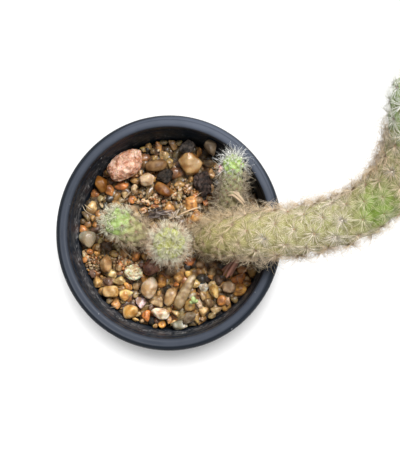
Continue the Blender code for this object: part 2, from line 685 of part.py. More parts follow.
def star(bm, stem, i, ring, needles, rng):
    """One areole: a tubercle whose top carries a star of needles.

    ring holds the six valley vertices round it. The star's own ring has a notch
    between each two needles and a point under each, and each needle is the four
    narrow faces that run from the star's middle, two notches and the point below
    to its tip.
    """
    shrink = stem.shrink(i)
    top, normal, across, uphill = stem.areole(i)
    rays = RAYS if shrink > 0.6 else 3
    crowding = stem.crowding(i)
    size = (0.45 + 0.55 * shrink) * crowding
    start = rng.uniform(0, math.tau)

    def flat(turn):
        return math.cos(turn) * across + math.sin(turn) * uphill

    def raised(turn, tilt):
        return math.cos(tilt) * flat(turn) + math.sin(tilt) * normal

    turns, tips = [], []
    for k in range(rays):
        turn = start + math.tau * k / rays + rng.uniform(-0.2, 0.2)
        tilt = RAY_TILT + DOME_TILT * (1 - shrink) + rng.uniform(-0.12, 0.16)
        length = stem.spine * (0.62 + 0.38 * shrink) * crowding * rng.uniform(0.88, 1.05)
        tries = [turn + nudge for nudge in (0, 0.22, -0.22, 0.4, -0.4)]
        chosen, tip = needles.fit(top, [raised(each, tilt) for each in tries], length)
        turns.append(tries[chosen])
        tips.append(tip)
    needles.remember(top, tips)

    middle = bm.verts.new(top + normal * STAR_HEIGHT * size)
    inner, notches = [], []
    for k, turn in enumerate(turns):
        after = turns[(k + 1) % rays] + (math.tau if k == rays - 1 else 0)
        half = (turn + after) / 2
        under = bm.verts.new(top + flat(turn) * STAR_CORE * 1.35 * size - normal * NEEDLE_DEPTH * size)
        notch = bm.verts.new(top + flat(half) * STAR_CORE * size - normal * NOTCH_DEPTH)
        inner += [(turn, under), (half, notch)]
        notches.append(notch)
    for k in range(rays):
        tip, under = bm.verts.new(tips[k]), inner[2 * k][1]
        before, after = notches[k - 1], notches[k]
        for face in ((middle, tip, after), (middle, before, tip), (after, tip, under), (under, tip, before)):
            bm.faces.new(face)

    def angle(vert):
        out = np.array(vert.co) - top
        return math.atan2(out @ uphill, out @ across)

    stitch(bm, [(angle(vert), vert) for vert in ring], inner)


def boundary_ring(start):
    """The open edge's vertices, walked from the start."""
    ring, current, previous = [start], start, None
    while True:
        step = next(edge.other_vert(current) for edge in current.link_edges
                    if edge.is_boundary and edge.other_vert(current) is not previous)
        if step is start:
            return ring
        ring.append(step)
        previous, current = current, step


def close_root(bm, stem, low):
    """A smooth round root from the lowest valleys, given with their angles, down to its flat end."""
    sides = 12
    centre = stem.points[0]
    rings = []
    for height in (ROOT_BOTTOM, STEM_START):
        turns = [math.tau * i / sides for i in range(sides)]
        rings.append([(turn, bm.verts.new((centre[0] + stem.root_radius * math.cos(turn),
                                           centre[1] + stem.root_radius * math.sin(turn), height)))
                      for turn in turns])
    lower, upper = rings
    stitch(bm, upper, low)
    for i in range(sides):
        j = (i + 1) % sides
        bm.faces.new((lower[i][1], lower[j][1], upper[j][1], upper[i][1]))
    bm.faces.new([vert for turn, vert in lower][::-1])


def build_stem(stem, own_tree, other_trees, material):
    """One stem: a net of valleys round its areoles in the (3, 5, 8) spiral, a smooth root
    below, and the spiral drawn together at the top of the dome."""
    rng = random.Random(stem.name + " needles")
    needles = Needles(own_tree, other_trees)
    bm = bmesh.new()
    verts, turns = {}, {}
    for i in stem.areoles:
        for valley in stem.ring(i):
            if valley not in verts:
                verts[valley] = bm.verts.new(stem.valley_point(valley))
                turns[verts[valley]] = stem.valley_turn(valley)
        star(bm, stem, i, [verts[valley] for valley in stem.ring(i)], needles, rng)

    low = boundary_ring(verts[3, stem.areoles[0] - 8])
    high = boundary_ring(verts[3, stem.areoles[-1]])
    close_root(bm, stem, [(turns[vert], vert) for vert in low])
    apex = bm.verts.new(stem.surface(0, stem.dome_start + 8)[0])
    ring = [vert for turn, vert in rising([(turns[vert], vert) for vert in high])]
    for a, b in zip(ring, ring[1:] + ring[:1]):
        bm.faces.new((a, b, apex))
    return make_object(stem.name, bm, material)


def build():
    clear_scene()
    pot = build_pot()
    mix = build_mix()
    bed = build_bed()
    cutter = root_cutters()
    for filling in (mix, bed):
        cut(filling, cutter)
        apply_modifiers(filling)
    trees = [tree_of(pot), tree_of(bed)]
    for stone in STONES:
        trees.append(tree_of(build_stone(*stone, trees)))
    trees.append(tree_of(build_husk(trees)))
    trees.append(tree_of(build_straw(trees)))
    green = make_material("cactus", (0.33, 0.36, 0.20), 0.7)
    stems = [Stem(*row) for row in STEMS]
    bare = {stem.name: stem.bare_tree() for stem in stems}
    for stem in stems:
        others = [tree for name, tree in bare.items() if name != stem.name]
        built = build_stem(stem, bare[stem.name], trees + others, green)
        trees.append(tree_of(built))


build()
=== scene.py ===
import bmesh
import bpy
import numpy as np
from mathutils import Matrix, Vector


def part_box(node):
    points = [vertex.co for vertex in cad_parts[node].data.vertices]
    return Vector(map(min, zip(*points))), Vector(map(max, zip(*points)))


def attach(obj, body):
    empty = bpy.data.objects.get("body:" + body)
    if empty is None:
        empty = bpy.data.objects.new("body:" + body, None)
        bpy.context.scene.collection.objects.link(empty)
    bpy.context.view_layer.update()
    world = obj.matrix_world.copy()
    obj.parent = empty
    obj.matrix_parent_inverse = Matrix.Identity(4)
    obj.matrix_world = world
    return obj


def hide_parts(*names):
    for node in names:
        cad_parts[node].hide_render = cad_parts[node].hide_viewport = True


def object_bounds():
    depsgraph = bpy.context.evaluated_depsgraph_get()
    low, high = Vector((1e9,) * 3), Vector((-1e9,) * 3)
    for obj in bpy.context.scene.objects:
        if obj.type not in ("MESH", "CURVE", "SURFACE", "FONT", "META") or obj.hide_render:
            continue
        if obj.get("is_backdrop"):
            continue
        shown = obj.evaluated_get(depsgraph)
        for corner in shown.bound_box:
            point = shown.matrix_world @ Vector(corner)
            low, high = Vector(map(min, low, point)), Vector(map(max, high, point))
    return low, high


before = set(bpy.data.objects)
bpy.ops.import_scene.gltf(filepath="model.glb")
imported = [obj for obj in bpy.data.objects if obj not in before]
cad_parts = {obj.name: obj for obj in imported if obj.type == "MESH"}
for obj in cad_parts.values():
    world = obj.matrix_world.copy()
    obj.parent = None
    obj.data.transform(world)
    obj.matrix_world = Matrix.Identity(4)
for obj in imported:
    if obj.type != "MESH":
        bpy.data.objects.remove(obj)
cad_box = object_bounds()
MM = 0.001

# The camera looks nearly straight down on the pot through a long lens, from a little to its right and
# towards the near side. Up in the picture is the object's +Y.
EYE = Vector((36.66, -26.97, 606)) * MM
AIM = Vector((13.61, 1.51, 86)) * MM
LENS = 95.57
ahead = (AIM - EYE).normalized()
right = ahead.cross(Vector((0, 1, 0))).normalized()
camera_data = bpy.data.cameras.new("camera")
camera_data.lens = LENS
camera = bpy.data.objects.new("camera", camera_data)
turn = Matrix((right, right.cross(ahead), -ahead)).transposed().to_4x4()
camera.matrix_world = Matrix.Translation(EYE) @ turn
bpy.context.scene.collection.objects.link(camera)
bpy.context.scene.camera = camera
bpy.context.scene.view_settings.view_transform = "Standard"

# The bench is plain white board in a pale room. A soft box at the far right lights the plant, and a
# small one overhead lights the board, where only the pot shades it, as in a picture cut out on white.
BENCH_HALF = 3.0
SKY = 0.45
SOFT_BOX = ((0.33, 0.45, 1.24), 0.42, 24.0)  # place, side and power
BOARD_LAMP = ((0.064, 0.048, 1.0), 0.12, 8.6)


def node(tree, kind, inputs=None, **settings):
    """One shader node; each of its inputs is a value or another node's output."""
    made = tree.nodes.new("ShaderNode" + kind)
    for name, value in settings.items():
        setattr(made, name, value)
    for name, value in (inputs or {}).items():
        if isinstance(value, bpy.types.NodeSocket):
            tree.links.new(value, made.inputs[name])
        else:
            made.inputs[name].default_value = value
    return made


def finish(name, colour, roughness, **inputs):
    """A Principled material with plain values; returns it, its node tree and its shader."""
    material = bpy.data.materials.new(name)
    material.use_nodes = True
    shader = material.node_tree.nodes["Principled BSDF"]
    shader.inputs["Base Color"].default_value = (*colour, 1)
    shader.inputs["Roughness"].default_value = roughness
    for label, value in inputs.items():
        shader.inputs[label.replace("_", " ")].default_value = value
    return material, material.node_tree, shader


bench_mesh = bpy.data.meshes.new("bench")
corners = [(-1, -1), (1, -1), (1, 1), (-1, 1)]
bench_mesh.from_pydata([(x * BENCH_HALF, y * BENCH_HALF, 0) for x, y in corners], [], [(0, 1, 2, 3)])
bench_mesh.materials.append(finish("white_board", (0.95, 0.95, 0.95), 0.8)[0])
bench = bpy.data.objects.new("bench", bench_mesh)
bpy.context.scene.collection.objects.link(bench)
bench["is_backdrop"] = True

world = bpy.data.worlds.new("room")
world.use_nodes = True
world.node_tree.nodes["Background"].inputs["Color"].default_value = (1, 1, 1, 1)
world.node_tree.nodes["Background"].inputs["Strength"].default_value = SKY
bpy.context.scene.world = world


def soft_light(name, place, side, power):
    """A square lamp aimed at the pot's foot."""
    data = bpy.data.lights.new(name, "AREA")
    data.size = side
    data.energy = power
    lamp = bpy.data.objects.new(name, data)
    lamp.location = place
    lamp.rotation_euler = (-Vector(place)).to_track_quat("-Z", "Y").to_euler()
    bpy.context.scene.collection.objects.link(lamp)
    return lamp


key_light = soft_light("soft_box", *SOFT_BOX)
board_lamp = soft_light("board_lamp", *BOARD_LAMP)
all_but_bench = bpy.data.collections.new("all_but_bench")
all_but_bench.objects.link(bench)
all_but_bench.collection_objects[0].light_linking.link_state = "EXCLUDE"
key_light.light_linking.receiver_collection = all_but_bench
only_bench = bpy.data.collections.new("only_bench")
only_bench.objects.link(bench)
board_lamp.light_linking.receiver_collection = only_bench

# The nursery pot is one moulded shell of thin black polypropylene with a rolled rim, standing on a foot
# ring and a middle disc, with its drain holes in the raised channel between them. It is spun from its
# profile, squeezed a little out of round, and drilled.
SIDES = 144
POT_HEIGHT = 86.0
OVAL = 0.02
DRAIN_HOLES = 6
DRAIN_HOLE_RADIUS = 3.5
DRAIN_CIRCLE = 22.3
# radius, height and how far the corner there is rounded
POT_PROFILE = [
    (0, 0, 0), (13, 0, 0.6), (14.5, 2.4, 0.6), (30, 2.4, 0.6), (31.5, 0, 0.5), (33.2, 0, 0.4), (34, 0.8, 0.4),
    (45.4, 80.5, 0.6), (48.8, 80.5, 0.6), (48.8, 77, 0.3), (50, 77, 0.4), (50, 84.4, 1.6), (48.6, 85.8, 0.5),
    (48.1, 86, 0.3), (47.7, 85.75, 0.3), (45.4, 85.8, 1.3), (44.6, 84.2, 1.0), (44.5, 80.6, 0.3),
    (44.1, 79.8, 0.3), (33.1, 2.2, 1.0), (32.3, 1.4, 0.4), (31.05, 1.4, 0.5), (29.55, 3.8, 0.6),
    (15.1, 3.8, 0.6), (13.6, 1.4, 0.6), (0, 1.4, 0),
]
WALL_STEPS = 24                            # rows down each side of the tall wall
INNER_FOOT = (33.1, 2.2)                   # radius and height where the wall's inside starts
INNER_SLOPE = 11.0 / 77.6
MIDDLE_FOOT = (33.6, 2.2)                  # and where the middle of its thickness does
MIDDLE_SLOPE = 11.4 / 79.8
INSIDE_FROM, INSIDE_TO = 3.0, 83.5         # heights between which the inner wall has its own finish
RIM_FACE = 84.0                            # what lies above this is the rim's upper face
BLEACHED_BAND = (44.7, 48.3)               # radii of its bleached band, painted wider on the side toward the soft box as painted light
# the rim's band is painted wider and lighter on the side toward the soft box, at the first angle below, as
# painted light
LIT_SIDE_EXTRA = 1.5
# at the second angle the inner wall faces away from the soft box, and its dust film is painted thinner there
# as painted shade
LIT_SIDE, SHADED_WALL_SIDE = np.radians(65), np.radians(55)
TIDE_LEVEL, TIDE_SPREAD = 71.5, 4.0        # where watering has left its line inside
OUTER_BLACK, INNER_BLACK = (0.011, 0.015, 0.022), (0.007, 0.013, 0.022)
BLEACHED, DUST_FILM = (0.091, 0.105, 0.140), (0.050, 0.055, 0.066)
LIME, SPLASHES, CRUST = (0.27, 0.27, 0.28), (0.50, 0.51, 0.53), (0.46, 0.47, 0.48)


def rounded(rows, steps=5):
    """A profile with its corners rounded: each corner becomes a parabola between a point before it and
    one after it, at the given distance or half way to its neighbours if that is nearer."""
    rows = np.array(rows, float)
    point, reach = rows[1:-1, :2], rows[1:-1, 2:]
    back, on = rows[:-2, :2] - point, rows[2:, :2] - point
    before, after = (side * np.minimum(reach / np.linalg.norm(side, axis=1, keepdims=True), 0.5)
                     for side in (back, on))
    t = np.linspace(0, 1, steps)[None, :, None]
    arcs = point[:, None] + (1 - t) ** 2 * before[:, None] + t ** 2 * after[:, None]
    return np.vstack([rows[:1, :2], arcs.reshape(-1, 2), rows[-1:, :2]])


def refined(points, longest):
    """The same outline with its long stretches split in equal parts no longer than the length given."""
    steps = np.linalg.norm(np.diff(points, axis=0), axis=1)
    parts = np.maximum(np.ceil(steps / longest).astype(int), 1)
    start = np.repeat(np.arange(len(parts)), parts)
    share = (np.arange(parts.sum()) - np.repeat(np.cumsum(parts) - parts, parts)) / np.repeat(parts, parts)
    spread = points[start] + (points[start + 1] - points[start]) * share[:, None]
    return np.vstack([spread, points[-1:]])


def grid_faces(rows, columns, closed=True):
    """Quads over a grid of rows and columns, closed round each row; they face outwards where the
    columns run anticlockwise as seen from the last row."""
    i, j = np.meshgrid(np.arange(rows - 1), np.arange(columns if closed else columns - 1), indexing="ij")
    after = (j + 1) % columns
    corners = [i * columns + j, i * columns + after, (i + 1) * columns + after, (i + 1) * columns + j]
    return np.stack(corners, axis=-1).reshape(-1, 4)


def piece(name, points, faces, material, nodes=(), merge=0.0):
    """A smooth object from points in millimetres and faces, an array of quads or a list of mixed ones,
    on the root body, with the material given, standing for the CAD nodes named."""
    mesh = bpy.data.meshes.new(name)
    mesh.from_pydata(np.asarray(points) * MM, [], faces if isinstance(faces, list) else faces.tolist())
    if merge:
        bm = bmesh.new()
        bm.from_mesh(mesh)
        bmesh.ops.remove_doubles(bm, verts=bm.verts, dist=merge * MM)
        bmesh.ops.dissolve_degenerate(bm, edges=bm.edges, dist=merge * MM)
        bm.to_mesh(mesh)
        bm.free()
    mesh.shade_smooth()
    mesh.materials.append(material)
    made = bpy.data.objects.new(name, mesh)
    bpy.context.scene.collection.objects.link(made)
    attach(made, "root")
    if nodes:
        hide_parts(*nodes)
    return made


def paint(made, name, values):
    """A number or a colour for each point of an object, for its material to read."""
    values = np.asarray(values, np.float32)
    kind, key = ("FLOAT", "value") if values.ndim == 1 else ("FLOAT_COLOR", "color")
    if values.ndim == 2:
        values = np.hstack([values, np.ones((len(values), 1), np.float32)])
    layer = made.data.attributes.new(name, kind, "POINT")
    layer.data.foreach_set(key, values.ravel())


def points_of(made):
    """An object's own points as an array, in millimetres."""
    flat = np.zeros(len(made.data.vertices) * 3)
    made.data.vertices.foreach_get("co", flat)
    return flat.reshape(-1, 3) / MM


def out_of_round(points):
    """The pot's squeeze: narrower along X and wider along Y, in proportion to the height."""
    share = OVAL * points[:, 2:] / POT_HEIGHT
    return points * (1 + share * np.array([-1, 1, 0]))


def inside_wall(points):
    """Points that would enter the pot's wall, brought in to it. The wall's inner radius is a straight
    slope in the height, squeezed like the pot."""
    x, y, z = points.T
    share = OVAL * z / POT_HEIGHT
    wall = INNER_FOOT[0] + (z - INNER_FOOT[1]) * INNER_SLOPE
    outward = np.maximum(np.hypot(x / (1 - share), y / (1 + share)), 0.01)
    inward = np.minimum(1, (wall - 0.05) / outward)
    return points * np.stack([inward, inward, np.ones_like(z)], axis=-1)


def mixed(tree, share, a, b, mode="MIX"):
    """The colour a turned into b by a share, each a colour or a socket."""
    made = node(tree, "Mix", data_type="RGBA", blend_type=mode)
    for place, value in ((0, share), (6, a), (7, b)):
        if isinstance(value, bpy.types.NodeSocket):
            tree.links.new(value, made.inputs[place])
        else:
            made.inputs[place].default_value = value if place == 0 else (*value, 1)
    return made.outputs[2]


def between(tree, value, low, high, bottom=0.0, top=1.0):
    """Runs from bottom to top, smoothly, as the value goes from low to high."""
    inputs = {"Value": value, "From Min": low, "From Max": high, "To Min": bottom, "To Max": top}
    return node(tree, "MapRange", inputs, interpolation_type="SMOOTHSTEP").outputs["Result"]


def noise(tree, where, scale, detail=3.0, distortion=0.0):
    """Cloudy noise, its scale in patches a metre."""
    inputs = {"Vector": where, "Scale": scale, "Detail": detail, "Distortion": distortion}
    return node(tree, "TexNoise", inputs).outputs["Fac"]


def combine(tree, kind, a, b):
    """Two numbers put together by an operation."""
    return node(tree, "Math", {0: a, 1: b}, operation=kind).outputs[0]


def bumps(tree, shader, height, distance, strength=1.0):
    """Fine relief on a shader, from a height and the distance in metres that it stands for."""
    made = node(tree, "Bump", {"Height": height, "Distance": distance, "Strength": strength})
    tree.links.new(made.outputs["Normal"], shader.inputs["Normal"])


def places(tree, scale=(1, 1, 1)):
    """Object coordinates, stretched by a scale."""
    where = node(tree, "TexCoord").outputs["Object"]
    return node(tree, "Mapping", {"Vector": where, "Scale": scale}).outputs["Vector"]


def attribute(tree, name, output="Fac"):
    """What paint() gave the object's points."""
    return node(tree, "Attribute", attribute_name=name).outputs[output]


def specks_group():
    """Scattered dots: the cells of a fine Voronoi pattern, of which a chosen share shows, each as a
    round dot of a chosen size."""
    group = bpy.data.node_groups.new("specks", "ShaderNodeTree")
    for label, kind in (("Where", "NodeSocketVector"), ("Scale", "NodeSocketFloat"),
                        ("Size", "NodeSocketFloat"), ("Share", "NodeSocketFloat")):
        group.interface.new_socket(label, in_out="INPUT", socket_type=kind)
    group.interface.new_socket("Dots", in_out="OUTPUT", socket_type="NodeSocketFloat")
    entry = group.nodes.new("NodeGroupInput").outputs
    cells = node(group, "TexVoronoi", {"Vector": entry["Where"], "Scale": entry["Scale"]})
    lot = node(group, "SeparateColor", {"Color": cells.outputs["Color"]}).outputs["Red"]
    chosen = combine(group, "LESS_THAN", lot, entry["Share"])
    dot = combine(group, "LESS_THAN", cells.outputs["Distance"], entry["Size"])
    out = group.nodes.new("NodeGroupOutput")
    group.links.new(combine(group, "MULTIPLY", chosen, dot), out.inputs["Dots"])
    return group


SPECKS = specks_group()


def specks(tree, where, scale, size, share):
    """The specks group placed in a material."""
    made = node(tree, "Group", node_tree=SPECKS)
    tree.links.new(where, made.inputs["Where"])
    for label, value in (("Scale", scale), ("Size", size), ("Share", share)):
        made.inputs[label].default_value = value
    return made.outputs["Dots"]


def pot_finish(name, black, shine):
    """Matt black plastic: bleached blue-grey where the rim faces up, filmed with grey dust inside, with
    a broken tide line of lime and specks of crust above the gravel, and a few white splashes. The
    band and the film also carry painted light and shade: lighter toward the soft box, darker where it shades."""
    material, tree, shader = finish(name, black, 0.42, Specular_IOR_Level=shine)
    where = places(tree)
    inside, rim, tide = attribute(tree, "inside"), attribute(tree, "rim"), attribute(tree, "tide")
    cloud = noise(tree, where, 160, 5)
    bleach = combine(tree, "MULTIPLY", rim, between(tree, cloud, 0.25, 0.75, 0.8, 1.0))
    colour = mixed(tree, bleach, black, BLEACHED)
    runs = noise(tree, places(tree, (1, 1, 0.35)), 330, 6, 0.4)
    # the dust film, weighted by a mask that also paints the inner wall lighter where lit and darker where
    # shaded
    dust_and_light = combine(tree, "MULTIPLY", inside, between(tree, runs, 0.42, 0.66, 0.1, 0.7))
    colour = mixed(tree, dust_and_light, colour, DUST_FILM)
    broken = between(tree, noise(tree, places(tree, (1, 1, 2.2)), 420, 5), 0.47, 0.60)
    lime = combine(tree, "MULTIPLY", tide, broken)
    colour = mixed(tree, combine(tree, "MULTIPLY", lime, 0.7), colour, LIME)
    patchy = between(tree, noise(tree, where, 60, 2), 0.45, 0.6)
    flecks = combine(tree, "MULTIPLY", specks(tree, where, 700, 0.2, 0.05), patchy)
    colour = mixed(tree, combine(tree, "MULTIPLY", flecks, 0.75), colour, SPLASHES)
    crust = combine(tree, "MULTIPLY", specks(tree, where, 760, 0.32, 0.20), tide)
    colour = mixed(tree, crust, colour, CRUST)
    tree.links.new(colour, shader.inputs["Base Color"])
    tree.links.new(between(tree, cloud, 0.3, 0.7, 0.36, 0.52), shader.inputs["Roughness"])
    bumps(tree, shader, noise(tree, where, 2600, 2), 0.00006, 0.5)
    return material


profile = refined(rounded(POT_PROFILE), POT_HEIGHT / WALL_STEPS)
angles = np.linspace(0, 2 * np.pi, SIDES, endpoint=False)
radius, height = profile[:, :1], profile[:, 1:]
shell = [radius * np.cos(angles), radius * np.sin(angles), np.broadcast_to(height, (len(profile), SIDES))]
shell = np.stack(shell, axis=-1).reshape(-1, 3)
pot = piece("pot_shell", out_of_round(shell), grid_faces(len(profile), SIDES),
            pot_finish("pot_plastic", OUTER_BLACK, 0.14), ["pot"], merge=0.001)
shades_board = bpy.data.collections.new("shades_board")
shades_board.objects.link(pot)
board_lamp.light_linking.blocker_collection = shades_board

drill = bmesh.new()
for i in range(DRAIN_HOLES):
    spin = Matrix.Rotation(2 * np.pi * (i + 0.5) / DRAIN_HOLES, 4, "Z")
    bmesh.ops.create_cone(drill, cap_ends=True, segments=40, radius1=DRAIN_HOLE_RADIUS * MM,
                          radius2=DRAIN_HOLE_RADIUS * MM, depth=12 * MM,
                          matrix=spin @ Matrix.Translation((DRAIN_CIRCLE * MM, 0, 3 * MM)))
drill_mesh = bpy.data.meshes.new("drill")
drill.to_mesh(drill_mesh)
drill.free()
drill_object = bpy.data.objects.new("drill", drill_mesh)
bpy.context.scene.collection.objects.link(drill_object)
holes = pot.modifiers.new("holes", "BOOLEAN")
holes.object = drill_object
holes.operation = "DIFFERENCE"
holes.solver = "EXACT"
bpy.context.view_layer.update()
drilled = bpy.data.meshes.new_from_object(pot.evaluated_get(bpy.context.evaluated_depsgraph_get()))
pot.modifiers.clear()
pot.data = drilled
pot.data.shade_smooth()
pot.data.set_sharp_from_angle(angle=np.radians(50))
bpy.data.objects.remove(drill_object)

# where the plastic is weathered: dust inside, a bleached rim, and a tide line of lime over the gravel; the
# rim's band is also painted lighter toward the soft box, and the dust film thinner where the wall is in
# shade, as painted light and shade
x, y, z = points_of(pot).T
around = np.arctan2(y, x)
round_again = np.hypot(x / (1 - OVAL * z / POT_HEIGHT), y / (1 + OVAL * z / POT_HEIGHT))
within = round_again < MIDDLE_FOOT[0] + (z - MIDDLE_FOOT[1]) * MIDDLE_SLOPE
# painted light and shade: the dust film is heaviest where the inner wall faces the soft box and thinnest
# where it is in shade; the tide line is weighted the same way
dust_and_lit_side = 0.55 - 0.45 * np.cos(around - SHADED_WALL_SIDE)
# painted light: the rim's band is lighter and wider on the side toward the soft box
toward_lamp = np.clip(np.cos(around - LIT_SIDE), 0, 1) ** 2
bleached = np.clip((BLEACHED_BAND[1] + LIT_SIDE_EXTRA * toward_lamp - round_again) / 0.8, 0, 1)
bleached *= np.clip((round_again - BLEACHED_BAND[0]) / 0.5, 0, 1)
tide = np.exp(-((z - TIDE_LEVEL) / TIDE_SPREAD) ** 2)
paint(pot, "inside", (within & (z > INSIDE_FROM)) * dust_and_lit_side)
# the bleached rim band, painted lighter toward the soft box as painted light
paint(pot, "rim", bleached * (z > RIM_FACE) * (0.38 + 0.44 * toward_lamp))
paint(pot, "tide", tide * within * np.clip(1.4 * dust_and_lit_side, 0, 1))
pot.data.materials.append(pot_finish("pot_inner_wall", INNER_BLACK, 0.08))
inner_wall = within & (z > INSIDE_FROM) & (z < INSIDE_TO)
for face in pot.data.polygons:
    face.material_index = int(all(inner_wall[corner] for corner in face.vertices))

# The potting mix is a moist, dark, crumbly plug of peat and sand that fills the pot under the gravel. Its
# CAD solid keeps its shape and gets a crumbly finish.
DAMP_CRUMB, DRY_CRUMB = (0.016, 0.011, 0.008), (0.085, 0.056, 0.036)
SOIL_FINISH, tree, shader = finish("moist_mix", (0.035, 0.024, 0.016), 0.95)
crumbs = noise(tree, places(tree), 900, 8)
colour = mixed(tree, between(tree, crumbs, 0.4, 0.7), DAMP_CRUMB, DRY_CRUMB)
tree.links.new(colour, shader.inputs["Base Color"])
bumps(tree, shader, crumbs, 0.0012)
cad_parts["potting_mix"].material_slots[0].material = SOIL_FINISH

# The gravel dressing is washed river gravel, 2 to 6 mm, tipped over the mix and level to within a stone:
# amber, tan and orange quartz with some grey, mauve, olive and black, over dark mix that shows in the gaps.
# The pebbles seen best are placed one by one, and the rest fill the spaces between, largest first.
BED_CROWN, BED_FALL, MOUTH_RADIUS = 68.5, 4.0, 44.5
BED_EDGE = 41.6
WALL_AT_GRAVEL = 42.0                      # the wall's inner radius at the bed's level
BED_OVAL = 0.75 * OVAL                     # and the pot's squeeze there
PALER, DEEPER = (1.62, 1.68, 1.75), (0.62, 0.50, 0.40)  # times a pebble's own colour
DUST, PORES = (0.60, 0.48, 0.34), (0.06, 0.038, 0.025)
CLEAR_DEPTHS = (0.0022, 0.0013, 0.0006)    # how far red, green and blue light go in, in metres
PEBBLE_COLOURS = {
    "tan": (0.349, 0.202, 0.0629), "amber": (0.438, 0.209, 0.047), "grey": (0.25, 0.164, 0.0703),
    "yellow": (0.399, 0.274, 0.109), "black": (0.00786, 0.0047, 0.00403), "brown": (0.138, 0.0841, 0.0285),
    "orange": (0.408, 0.149, 0.0316), "cream": (0.47, 0.336, 0.199), "olive": (0.306, 0.163, 0.0451),
    "pink": (0.364, 0.236, 0.118), "mauve": (0.114, 0.0579, 0.039), "white": (0.513, 0.442, 0.38),
}
# how many of each colour there are among the loose ones, in every 37
SHARES = {"tan": 6, "amber": 6, "orange": 3, "grey": 3, "brown": 5, "pink": 2, "mauve": 2, "olive": 4,
          "cream": 2, "yellow": 2, "black": 2}
LOOSE_COLOURS = [colour for colour, share in SHARES.items() for _ in range(share)]
